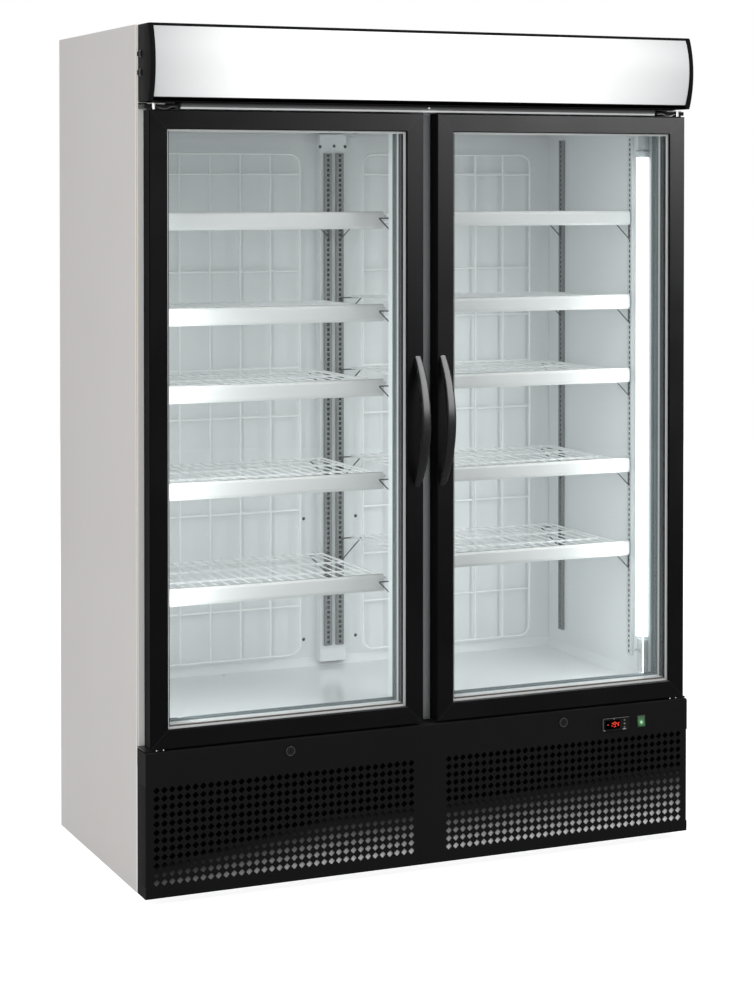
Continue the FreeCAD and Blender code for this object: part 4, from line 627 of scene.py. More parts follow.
def finishes(context):
    """All plain finishes by name."""
    c = context.scene.freezer_colours
    return {
        "cabinet": cabinet_finish("cabinet_coat", c),
        "galvanised": finish("galvanised_spangle", c.galvanised, 0.42, metallic=0.7, tone=0.12, clouds=28.0),
        "liner": liner_finish("liner_coat", c),
        "foam": finish("foam_core", (0.70, 0.62, 0.40), 0.9, tone=0.10, clouds=40.0, relief=0.4),
        "frame": profile_finish("frame_anodised", c),
        "plinth": finish("plinth_coat", c.plinth_black, 0.5, tone=0.15, relief=0.2, specular=0.01, dust=0.1),
        "plastic": finish("black_moulding", c.plastic_black, 0.34, tone=0.15, specular=0.10, dust=0.08),
        "cap": finish("end_cap_black", c.plastic_black, 0.45, tone=0.15, specular=0.015, dust=0.1),
        "bezel": finish("bezel_black", c.plastic_black, 0.22, tone=0.1, specular=0.04),
        # Pale grey of the strips on the bezel edges: a painted highlight.
        "bezel_edge": finish("bezel_edge", (0.20, 0.20, 0.205), 0.4, tone=0.1, specular=0.2),
        "handle": finish("handle_black", c.plastic_black, 0.26, tone=0.15, specular=0.08),
        "channel": finish("sign_channel_black", c.plastic_black, 0.42, tone=0.15, specular=0.03, dust=0.25),
        "rail": finish("rail_coat", c.rail_white, 0.35, tone=0.02),
        "trim": finish("trim_white", (0.82, 0.84, 0.85), 0.4, tone=0.02),
        "wire": finish("wire_coat", c.wire_white, 0.35, tone=0.02),
        "standard": finish("standard_zinc", c.standard_grey, 0.4, metallic=0.3, tone=0.08),
        "standard_pale": finish("standard_pale", (0.66, 0.69, 0.70), 0.4, tone=0.05),
        "lamp_channel": finish("lamp_channel_grey", (0.50, 0.54, 0.55), 0.4, tone=0.05),
        "breaker": finish("breaker_coat", (0.30, 0.35, 0.36), 0.5, tone=0.05),
        "lock": finish("lock_dark", (0.012, 0.012, 0.0125), 0.25, tone=0.1, specular=0.06),
        "lock_rim": finish("lock_rim_bronze", (0.045, 0.042, 0.039), 0.25, metallic=1.0, tone=0.1),
        # Dark finish of the sealant, also used as painted shade behind the slots of the standards.
        "slot": finish("standard_slot_dark", (0.02, 0.022, 0.024), 0.7, specular=0.1),
        "rail_edge": finish("rail_edge_grey", (0.30, 0.29, 0.28), 0.5, tone=0.05, specular=0.2),
        "bracket": finish("bracket_coat", c.bracket_grey, 0.45, tone=0.1, specular=0.3),
        "zinc": finish("zinc_plate", c.zinc, 0.28, metallic=1.0, tone=0.1, clouds=18.0),
        "gasket": finish("gasket_soft", c.gasket_grey, 0.6, tone=0.06, specular=0.25),
        "spacer": finish("spacer_bar", (0.74, 0.76, 0.76), 0.4, tone=0.04),
        "spacer_brown": finish("spacer_bar_brown", (0.12, 0.085, 0.06), 0.4, tone=0.05, specular=0.2),
        # A darker copy of the spacer finish: painted shade on the rear spacers' stiles.
        "spacer_painted_shade": finish("spacer_bar_rear", (0.085, 0.09, 0.095), 0.4, tone=0.05, specular=0.2),
        "fin": finish("fin_stock", (0.72, 0.73, 0.74), 0.3, metallic=0.9, tone=0.06, clouds=12.0),
        "pump": finish("pump_shell", (0.02, 0.02, 0.022), 0.35, tone=0.2, specular=0.4, dust=0.2),
        "fan": finish("fan_moulding", (0.05, 0.05, 0.055), 0.4, tone=0.1, specular=0.4, dust=0.1),
        "foot": finish("foot_rubber", (0.018, 0.018, 0.018), 0.6, tone=0.2, specular=0.3),
        "display": finish("display_dark", (0.010, 0.006, 0.006), 0.12, tone=0.1, specular=0.4),
        "key": finish("key_rubber", (0.02, 0.02, 0.021), 0.5, tone=0.1, specular=0.1),
    }


def shows_background(tree):
    """Tells the rays that show the white background from those that light the object."""
    rays = add_node(tree, "LightPath").outputs
    seen = reckon(tree, "MAXIMUM", rays["Is Camera Ray"], rays["Is Glossy Ray"])
    return reckon(tree, "MAXIMUM", seen, rays["Is Transmission Ray"])


def hang_lamp(name, power, size, place, target):
    """Hangs an area lamp that the camera doesn't see and aims it."""
    light = bpy.data.lights.new(name, "AREA")
    light.energy = power
    light.shape = "RECTANGLE"
    light.size, light.size_y = size
    lamp = bpy.data.objects.new(name, light)
    lamp.location = place
    aim = Vector(target) - Vector(place)
    lamp.rotation_euler = aim.to_track_quat("-Z", "Y").to_euler()
    lamp.visible_camera = False
    bpy.context.scene.collection.objects.link(lamp)
    return lamp


class FREEZER_OT_stage(bpy.types.Operator):
    """Sets the pale floor, the soft light and the camera"""

    bl_idname = "freezer.stage"
    bl_label = "Stage"

    def execute(self, context):
        stage = context.scene.freezer_stage
        self.floor(context, stage.floor_lift)
        self.world(context, stage.room_light)
        hang_lamp("key_lamp", stage.key_light, (2.6, 2.6), (-3.9, -3.4, 2.4), (0.0, 0.0, 1.0))
        hang_lamp("soft_box", stage.fill_light, (1.8, 1.8), (1.5, -2.7, 3.1), (0.0, -0.3, 1.1))
        hang_lamp("back_lamp", stage.back_light, (3.0, 3.0), (0.8, 3.6, 3.2), (0.0, 0.0, 1.0))
        for name, power, size, place, target in (
            ("sheen_panel", stage.sheen_light, (2.2, 3.0), (2.35, -2.35, 2.85), (2.35, -1.63, 2.16)),
            ("handle_panel", stage.handle_light, (2.4, 2.77), (0.9, -1.475, 2.33), (0.9, -0.7, 1.69)),
        ):
            panel = hang_lamp(name, power, size, place, target)
            panel.visible_diffuse = False
            panel.visible_transmission = False
        self.camera(context, stage)
        return {"FINISHED"}

    def camera(self, context, stage):
        """The eye of the photograph."""
        eye = bpy.data.cameras.new("photo_camera")
        eye.sensor_fit = "VERTICAL"
        eye.sensor_height = 36.0
        eye.lens = stage.focal_length
        eye.shift_y = stage.lens_shift
        eye.clip_end = 60.0
        camera = bpy.data.objects.new("photo_camera", eye)
        camera.location = stage.camera_place
        camera.rotation_euler = (math.pi / 2 - stage.camera_pitch, 0.0, -stage.camera_yaw)
        context.scene.collection.objects.link(camera)
        context.scene.camera = camera
        context.scene.view_settings.view_transform = "Standard"

    def floor(self, context, lift):
        """The pale floor, white to the eye and still shaded by the object."""
        bm = bmesh.new()
        bmesh.ops.create_circle(bm, cap_ends=True, segments=64, radius=9.0)
        mesh = bpy.data.meshes.new("pale_floor")
        bm.to_mesh(mesh)
        bm.free()
        material, tree, surface = bare_material("pale_floor")
        inputs = {
            "Base Color": (0.82, 0.82, 0.82, 1.0),
            "Roughness": 0.9,
            "Specular IOR Level": 0.0,
            "Emission Color": (1.0, 1.0, 1.0, 1.0),
            "Emission Strength": reckon(tree, "MULTIPLY", shows_background(tree), lift),
        }
        dial(tree, surface, inputs)
        mesh.materials.append(material)
        floor = bpy.data.objects.new("pale_floor", mesh)
        context.scene.collection.objects.link(floor)

    def world(self, context, level):
        """The white room, dimmer as a light than as a background."""
        world = bpy.data.worlds.new("white_room")
        world.use_nodes = True
        tree = world.node_tree
        strength = remap(tree, shows_background(tree), 0.0, 1.0, level, 1.0)
        dial(tree, tree.nodes["Background"], {"Color": (1.0, 1.0, 1.0, 1.0), "Strength": strength})
        context.scene.world = world


class FREEZER_OT_frame_finishes(bpy.types.Operator):
    """Paints the nodes of the frame that stay as they are"""

    bl_idname = "freezer.frame_finishes"
    bl_label = "Frame finishes"

    def execute(self, context):
        made = finishes(context)
        pane = pane_finish()
        kinds = {
            "cabinet": "left_side_panel right_side_panel top_panel",
            "galvanised": "back_panel base_pan machine_deck",
            "foam": "foam_insulation",
            "liner": "inner_liner centre_mullion rear_post evaporator_tray",
            "breaker": "breaker_frame",
            "plinth": "plinth_panel",
            "plastic": "cable_gland canopy_switch_housings controller_housing fan_shroud door_hinges "
            "power_switch_housing cabin_light_rocker canopy_light_rocker left_door_handle right_door_handle",
            "cap": "canopy_end_caps",
            "channel": "canopy_channel",
            "pump": "compressor",
            "fin": "condenser evaporator_coil",
            "fan": "condenser_fan evaporator_fan",
            "lock": "lock_housings left_lock_plug right_lock_plug",
            "display": "controller_window",
            "key": "controller_key_up controller_key_set controller_key_down",
            "frame": "left_door_frame right_door_frame",
            "spacer": "left_door_spacers right_door_spacers",
            "gasket": "left_door_gasket right_door_gasket",
            "standard": "shelf_standards",
            "bracket": "shelf_brackets",
            "wire": "left_wire_shelves right_wire_shelves back_guards wall_lamps canopy_diffuser",
            "rail": "left_price_rails right_price_rails",
            "foot": "front_left_foot front_right_foot rear_left_foot rear_right_foot",
        }
        for kind, names in kinds.items():
            for name in names.split():
                paint_node(name, made[kind])
        for _, word in DOORS:
            paint_node(word + "_door_panes", pane)
        paint_node("canopy_tube", glow("tube_glow", (1.0, 1.0, 1.0), 2.0))
        paint_node("power_rocker", rocker_finish("rocker_lit", context.scene.freezer_colours))
        return {"FINISHED"}


class FREEZER_OT_side_panels(bpy.types.Operator):
    """Folds the two painted side sheets round the front edge"""

    bl_idname = "freezer.side_panels"
    bl_label = "Side panels"

    def execute(self, context):
        coat = finishes(context)["cabinet"]
        sizes = context.scene.freezer_details
        for side, word in DOORS:
            low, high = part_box(word + "_side_panel")
            outer, inner = (low.x, high.x) if side == LEFT else (high.x, low.x)
            run = [(outer, high.y, low.z), (outer, low.y, low.z), (inner, low.y, low.z)]
            bm = bmesh.new()
            add_folded(bm, run, (0, 0, high.z - low.z), -side * sizes.sheet, sizes.fold_radius)
            make_piece(bm, word + "_side_sheet", "cabinet_paint", coat, word + "_side_panel", flat=0.005)
        return {"FINISHED"}


class FREEZER_OT_sign_box(bpy.types.Operator):
    """Bows the lit panel and shapes the black end caps of the sign box"""

    bl_idname = "freezer.sign_box"
    bl_label = "Sign box"

    def execute(self, context):
        made = finishes(context)
        scene = context.scene
        thick = scene.freezer_details.cap_thickness
        low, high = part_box("canopy_diffuser")
        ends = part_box("canopy_end_caps")
        low.x, high.x = ends[0].x + thick - 0.002, ends[1].x - thick + 0.002
        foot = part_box("canopy_channel")[0].z
        lip = low.z + 0.0065
        bm = bmesh.new()
        soft_box(bm, (low.x, low.y + 0.0165, foot), (high.x, low.y + 0.022, lip + 0.0005), 0.001)
        make_piece(bm, "sign_lower_lip", "black_paint", made["channel"])
        low.z = lip
        bm = bmesh.new()
        self.bow(bm, low, high)
        lit = sign_finish(scene.freezer_colours, scene.freezer_stage)
        make_piece(bm, "sign_panel", "sign_white", lit, "canopy_diffuser")
        low, high = ends
        bm = bmesh.new()
        for start in (low.x, high.x - thick):
            self.cap(bm, start, thick, low, high)
        soften(bm, 0.0025, 3, 0.5)
        make_piece(bm, "sign_end_caps", "black_plastic", made["cap"], "canopy_end_caps")
        self.skirt(made)
        return {"FINISHED"}

    def skirt(self, made):
        """The strip that closes the sign box at the bottom between the hinge arms, and the trim below it."""
        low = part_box("canopy_channel")[0].z
        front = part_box("left_side_panel")[0].y
        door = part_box("left_door_frame")[1].z
        half, clear = 0.597, 0.0002
        bm = bmesh.new()
        soft_box(bm, (-half, front - 0.0520, low - 0.0105), (half, front - clear, low - clear), 0.0025, 3)
        make_piece(bm, "sign_skirt", "black_paint", skirt_finish())
        bm = bmesh.new()
        soft_box(bm, (-half, front - 0.0500, door + 0.0025), (half, front - clear, low - 0.0107), 0.0008)
        make_piece(bm, "header_trim", "rail_white", made["trim"])
        bm = bmesh.new()
        add_screw(bm, (0.0, front - 0.0525, low - 0.0050), 0.0032)
        make_piece(bm, "skirt_screw", "hinge_zinc", made["zinc"])

    def arc(self, bm, x, low, high, steps=20):
        """A run of edges from the lower to the upper lip, bowed to the front."""
        half = (high.z - low.z) / 2
        radius = (half * half + SIGN_BULGE * SIGN_BULGE) / (2 * SIGN_BULGE)
        angle = 2 * math.asin(half / radius)
        first = bm.verts.new((x, low.y + SIGN_BULGE, low.z))
        middle = (x, low.y + radius, low.z + half)
        made = bmesh.ops.spin(bm, geom=[first], cent=middle, axis=(-1, 0, 0), angle=angle, steps=steps)
        if not made["geom_last"]:
            raise RuntimeError("the bow was not made")

    def bow(self, bm, low, high):
        """The panel: a bowed run of edges drawn across the front, then given its wall."""
        self.arc(bm, low.x, low, high)
        drawn = bmesh.ops.extrude_edge_only(bm, edges=bm.edges[:])["geom"]
        moved = [item for item in drawn if isinstance(item, bmesh.types.BMVert)]
        bmesh.ops.translate(bm, vec=(high.x - low.x, 0, 0), verts=moved)
        bmesh.ops.recalc_face_normals(bm, faces=bm.faces[:])
        faces = bm.faces[:]
        if faces[len(faces) // 2].normal.y > 0:
            bmesh.ops.reverse_faces(bm, faces=faces)
        bmesh.ops.solidify(bm, geom=faces, thickness=0.003)

    def cap(self, bm, x, thick, low, high):
        """One end cap: the bowed outline closed at the back and pushed to its thickness."""
        old = set(bm.verts)
        self.arc(bm, x, low, high)
        run = sorted((vert for vert in bm.verts if vert not in old), key=lambda vert: vert.co.z)
        back = [bm.verts.new((x, high.y, high.z)), bm.verts.new((x, high.y, low.z))]
        push(bm, bm.faces.new(run + back), (thick, 0, 0))


class FREEZER_OT_glazing(bpy.types.Operator):
    """Lays the spacer bars, the dark sealant, the pale sash trim and the soft gasket round each pane"""

    bl_idname = "freezer.glazing"
    bl_label = "Glazing edges and gaskets"

    def execute(self, context):
        made = finishes(context)
        for side, word in DOORS:
            low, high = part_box(word + "_door_frame")
            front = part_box(word + "_door_panes")[0].y
            body = word + "_door"
            self.spacers(made, word, body, low, high, front)
            bars = bmesh.new()
            self.ring(bars, low, high, 0.042, 0.0505, high.y - 0.0045, high.y - 0.0002, head=0.0460)
            make_piece(bars, word + "_sash_trim", "rail_white", made["trim"], body=body)
            bars = bmesh.new()
            for outer, less, start, end in (
                (0.0130, 0.0, 0.0, 0.0065),
                (0.0160, 0.0030, 0.0065, 0.0120),
                (0.0130, 0.0, 0.0120, 0.0195),
            ):
                self.seal(bars, side, low, high, outer, less, high.y + start, high.y + end)
            soften(bars, 0.0012)
            name = word + "_bellows_gasket"
            make_piece(bars, name, "gasket_grey", made["gasket"], word + "_door_gasket", body=body)
        self.mullion(made)
        return {"FINISHED"}

    def spacers(self, made, word, body, low, high, front):
        """The bright front spacer with its brown lip, the dark sealant, and the two spacers behind, whose
        stiles take a darker copy of the spacer finish as painted shade.
        """
        start, end = front + 0.0041, front + 0.0055
        bars = bmesh.new()
        self.ring(bars, low, high, SPACER_OUTER, SPACER_HEAD, start, end)
        name = word + "_front_spacer"
        make_piece(bars, name, "spacer_metal", made["spacer"], word + "_door_spacers", body=body)
        lip = SPACER_HEAD + 0.0001
        bars = bmesh.new()
        add_box(bars, (low.x + lip, start, low.z + lip), (high.x - lip, end, low.z + SPACER_INNER))
        make_piece(bars, word + "_spacer_lip", "spacer_metal", made["spacer_brown"], body=body)
        bars = bmesh.new()
        start, end = front + 0.0056, front + 0.0099
        self.ring(bars, low, high, SPACER_OUTER, SPACER_INNER, start, end, head=SPACER_HEAD)
        make_piece(bars, word + "_sealant", "gasket_grey", made["slot"], body=body)
        # The rear spacers' stiles take a darker copy of the spacer finish as painted shade; their rails keep
        # the bright one.
        for kind, rails, part in (("spacer_painted_shade", False, "_stiles"), ("spacer", True, "_rails")):
            bars = bmesh.new()
            for start, end in ((front + 0.0141, front + 0.0199), (front + 0.0241, front + 0.0285)):
                insets = (SPACER_OUTER, SPACER_INNER)
                self.ring(bars, low, high, *insets, start, end, rails, not rails, SPACER_HEAD)
            make_piece(bars, word + "_rear_spacer" + part, "spacer_metal", made[kind], body=body)

    def mullion(self, made):
        """The pale strip that shows between the two doors."""
        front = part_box("left_side_panel")[0].y
        low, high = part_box("left_door_frame")
        half = 0.029
        bm = bmesh.new()
        soft_box(bm, (-half, front - 0.0008, low.z), (half, front - 0.0002, high.z), 0.0002, 1)
        make_piece(bm, "mullion_strip", "liner_white", made["liner"])

    def ring(self, bm, low, high, outer, inner, y0, y1, rails=True, stiles=True, head=None):
        """Bars along the rails, the stiles or both of a door between two insets, less deep at the head."""
        x0, x1, z0, z1 = low.x, high.x, low.z, high.z
        top = z1 - (inner if head is None else head)
        if rails:
            for start, end in ((z0 + outer, z0 + inner), (top, z1 - outer)):
                add_box(bm, (x0 + outer, y0, start), (x1 - outer, y1, end))
        if stiles:
            for start, end in ((x0 + outer, x0 + inner), (x1 - inner, x1 - outer)):
                add_box(bm, (start, y0, z0 + inner), (end, y1, top))

    def seal(self, bm, side, low, high, outer, less, y0, y1):
        """Four bars of the gasket, each as deep as it shows beside its part of the frame."""
        top, foot = high.z - GASKET_HEAD + less, low.z + GASKET_FOOT - less
        depths = (GASKET_HINGE, GASKET_LATCH) if side == LEFT else (GASKET_LATCH, GASKET_HINGE)
        left, right = low.x + depths[0] - less, high.x - depths[1] + less
        x0, x1 = low.x + outer, high.x - outer
        for (start, base), (end, head) in (
            ((x0, low.z + outer), (x1, foot)),
            ((x0, top), (x1, high.z - outer)),
            ((x0, foot), (left, top)),
            ((right, foot), (x1, top)),
        ):
            add_box(bm, (start, y0, base), (end, y1, head))


class FREEZER_OT_handles(bpy.types.Operator):
    """Bows the two moulded door handles"""

    bl_idname = "freezer.handles"
    bl_label = "Door handles"

    def execute(self, context):
        black = finishes(context)["handle"]
        for _, word in DOORS:
            low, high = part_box(word + "_door_handle")
            bm = bmesh.new()
            self.bow(bm, low, high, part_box(word + "_door_frame")[0].y)
            name = word + "_bow_handle"
            make_piece(bm, name, "black_plastic", black, word + "_door_handle", body=word + "_door")
        return {"FINISHED"}

    def bow(self, bm, low, high, face):
        """A soft-edged section spun along the bow, slimmer towards its ends and cut off at the door."""
        thick, wide, fullness, taper, overlap = 0.0065, 0.0115, 0.6, 0.22, 0.06
        half, reach = (high.z - low.z) / 2, face - low.y
        radius = (half * half + reach * reach) / (2 * reach)
        middle = Vector(((low.x + high.x) / 2, low.y + radius, (low.z + high.z) / 2))
        angle = math.asin(half / radius) + overlap
        place = Matrix.Translation((middle.x, middle.y - radius + thick, middle.z))
        verts = bmesh.ops.create_circle(bm, cap_ends=True, segments=24, radius=1.0, matrix=place)["verts"]
        for vert in verts:
            out = vert.co - place.translation
            vert.co.x = middle.x + wide * math.copysign(abs(out.x) ** fullness, out.x)
            vert.co.y = place.translation.y + thick * math.copysign(abs(out.y) ** fullness, out.y)
        bmesh.ops.rotate(bm, cent=middle, matrix=Matrix.Rotation(-angle, 3, "X"), verts=verts)
        geom = bm.verts[:] + bm.edges[:] + bm.faces[:]
        bmesh.ops.spin(bm, geom=geom, cent=middle, axis=(1, 0, 0), angle=2 * angle, steps=36)
        for vert in bm.verts:
            share = min(abs(vert.co.z - middle.z) / half, 1.0)
            vert.co.x = middle.x + (vert.co.x - middle.x) * (1.0 - taper * share * share)
        geom = bm.verts[:] + bm.edges[:] + bm.faces[:]
        plane = {"plane_co": (0, face, 0), "plane_no": (0, 1, 0)}
        cut = bmesh.ops.bisect_plane(bm, geom=geom, clear_outer=True, **plane)["geom_cut"]
        rims = [item for item in cut if isinstance(item, bmesh.types.BMEdge)]
        bmesh.ops.holes_fill(bm, edges=rims, sides=0)


class FREEZER_OT_hinges(bpy.types.Operator):
    """Shapes the black hinge arms above the doors, the plates below them and their bright bolts"""

    bl_idname = "freezer.hinges"
    bl_label = "Door hinges"

    def execute(self, context):
        made = finishes(context)
        low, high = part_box("door_hinges")
        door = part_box("left_door_frame")
        hinges = [joint for joint in frame["joints"] if joint["name"].endswith("door_hinge")]
        pins = {joint["child"]: Vector(joint["pos_m"]) for joint in hinges}
        arms, bolts = bmesh.new(), bmesh.new()
        for side, word in DOORS:
            pin = pins[word + "_door"]
            self.upper(arms, bolts, side, pin, low, high, door[1].z)
            self.lower(arms, bolts, side, pin, low, high, door[0].z)
        make_piece(arms, "hinge_arms", "hinge_zinc", made["plastic"], "door_hinges")
        make_piece(bolts, "hinge_bolts", "hinge_zinc", made["zinc"])
        return {"FINISHED"}

    def upper(self, arms, bolts, side, pin, low, high, door_top):
        """The long arm, its leg on the header, the bright pin in front of it and the bent closing spring."""
        x0, x1 = sorted((side * (high.x - 0.004), pin.x - side * 0.064))
        plate = high.z - 0.008
        soft_box(arms, (x0, low.y + 0.006, plate - 0.0045), (x1, high.y, plate + 0.0045), 0.0015)
        soft_box(arms, (x0, high.y - 0.003, plate + 0.0046), (x1, high.y, high.z), 0.0008)
        add_rod(arms, (pin.x, pin.y, door_top + 0.0003), (pin.x, pin.y, plate - 0.004), 0.0105, 24)
        add_rod(bolts, (pin.x, pin.y, door_top - 0.022), (pin.x, pin.y, door_top + 0.0002), 0.005, 16)
        x, y = pin.x - side * 0.003, low.y + 0.0042
        add_rod(bolts, (x, y, door_top + 0.001), (x, y, high.z - 0.0015), 0.0038, 16)
        bends = ((0.010, 0.0065), (0.021, 0.0025), (0.034, 0.0030), (0.045, 0.0075), (0.058, 0.0060))
        spring = [(pin.x - side * reach, y, door_top + rise) for reach, rise in bends]
        for one, other in zip(spring, spring[1:]):
            add_rod(bolts, one, other, 0.0012)
        start, end = pin.x + side * 0.010, pin.x - side * 0.030
        add_rod(bolts, (start, y + 0.003, plate + 0.0055), (end, y + 0.003, plate + 0.0055), 0.0010)

    def lower(self, arms, bolts, side, pin, low, high, door_foot):
        """The plate under the door, its leg behind the plinth and two bolt heads on its front edge."""
        plate = door_foot - 0.0015
        x0, x1 = sorted((side * high.x, pin.x - side * 0.021))
        soft_box(arms, (x0, low.y, plate - 0.003), (x1, high.y, plate), 0.0008)
        soft_box(arms, (x0 + 0.004, high.y - 0.003, low.z), (x1 - 0.004, high.y, plate - 0.0031), 0.0008)
        add_rod(bolts, (pin.x, pin.y, plate), (pin.x, pin.y, door_foot + 0.022), 0.005, 16)
        for place in (0.006, 0.022):
            x = pin.x - side * place
            add_rod(bolts, (x, low.y - 0.0005, plate - 0.0015), (x, low.y, plate - 0.0015), 0.0013, 12)


class FREEZER_OT_plinth(bpy.types.Operator):
    """Punches the two fields of holes and folds the plinth sheet round them"""

    bl_idname = "freezer.plinth"
    bl_label = "Plinth"

    def execute(self, context):
        made = finishes(context)
        sizes = context.scene.freezer_details
        low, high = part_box("plinth_panel")
        wall, face, back = sizes.sheet, low.y, high.y
        bottom, top = FIELD_FOOT, FIELD_FOOT + FIELD_ROWS * sizes.row_pitch
        (start, left), (right, end) = PLINTH_FIELDS
        bm = bmesh.new()
        for field in PLINTH_FIELDS:
            self.field(bm, *field, bottom, top, face, sizes)
        width, rise = (high.x - low.x, 0, 0), (0, 0, top - bottom)
        for run, along in (
            ([(low.x, back, high.z), (low.x, face, high.z), (low.x, face, top)], width),
            ([(low.x, face, bottom), (low.x, face, low.z), (low.x, back, low.z)], width),
            ([(low.x, back, bottom), (low.x, face, bottom), (start, face, bottom)], rise),
            ([(end, face, bottom), (high.x, face, bottom), (high.x, back, bottom)], rise),
        ):
            add_folded(bm, run, along, wall, sizes.fold_radius)
        add_box(bm, (left, face, bottom), (right, face + wall, top))
        for edge in (low.x, high.x - wall):
            for foot, head in ((top, high.z), (low.z, bottom)):
                add_box(bm, (edge, face + 0.003, foot), (edge + wall, back, head))
        make_piece(bm, "plinth_sheet", "black_paint", made["plinth"], "plinth_panel")
        # A sheet just behind the holes carries painted light at its foot and painted shade above, seen
        # through the holes.
        bm = bmesh.new()
        margin = 0.01
        corner = (low.x + margin, face + 0.003, bottom - margin)
        add_box(bm, corner, (high.x - margin, face + 0.006, top + margin))
        make_piece(bm, "plinth_backing_painted_light", "black_paint", mat_finish())
        return {"FINISHED"}

    def field(self, bm, start, end, bottom, top, face, sizes):
        """A grid of cells, each inset, its middle turned on a corner and taken out, then given its wall."""
        columns = round((end - start) / sizes.hole_pitch)
        rows = round((top - bottom) / sizes.row_pitch)
        spread = Matrix.Diagonal((end - start, top - bottom, 1, 1))
        place = Matrix.Translation(((start + end) / 2, face, (bottom + top) / 2))
        place = place @ Matrix.Rotation(math.pi / 2, 4, "X") @ spread
        old = set(bm.faces)
        bmesh.ops.create_grid(bm, x_segments=columns, y_segments=rows, size=0.5, matrix=place)
        cells = [item for item in bm.faces if item not in old]
        if len(cells) != columns * rows:
            raise RuntimeError("the field has %d cells, not %d" % (len(cells), columns * rows))
        bmesh.ops.inset_individual(bm, faces=cells, thickness=sizes.hole_rim, use_even_offset=True)
        eighth = Matrix.Rotation(math.pi / 4, 3, "Y")
        for cell in cells:
            bmesh.ops.rotate(bm, cent=cell.calc_center_median(), matrix=eighth, verts=cell.verts)
        corners = list({vert for cell in cells for vert in cell.verts})
        bmesh.ops.bevel(
            bm, geom=corners, offset=sizes.hole_pitch * 0.10, offset_type="OFFSET", segments=2, profile=0.5,
            affect="VERTICES", material=-1,
        )
        holes = [f for f in bm.faces if f not in old and len(f.verts) == 12 and f.calc_area() > 6e-5]
        if len(holes) != columns * rows:
            raise RuntimeError("%d holes were found, not %d" % (len(holes), columns * rows))
        bmesh.ops.delete(bm, geom=holes, context="FACES_ONLY")
        sheet = [item for item in bm.faces if item not in old]
        if sheet[0].normal.y > 0:
            bmesh.ops.reverse_faces(bm, faces=sheet)
        bmesh.ops.solidify(bm, geom=sheet, thickness=sizes.sheet)


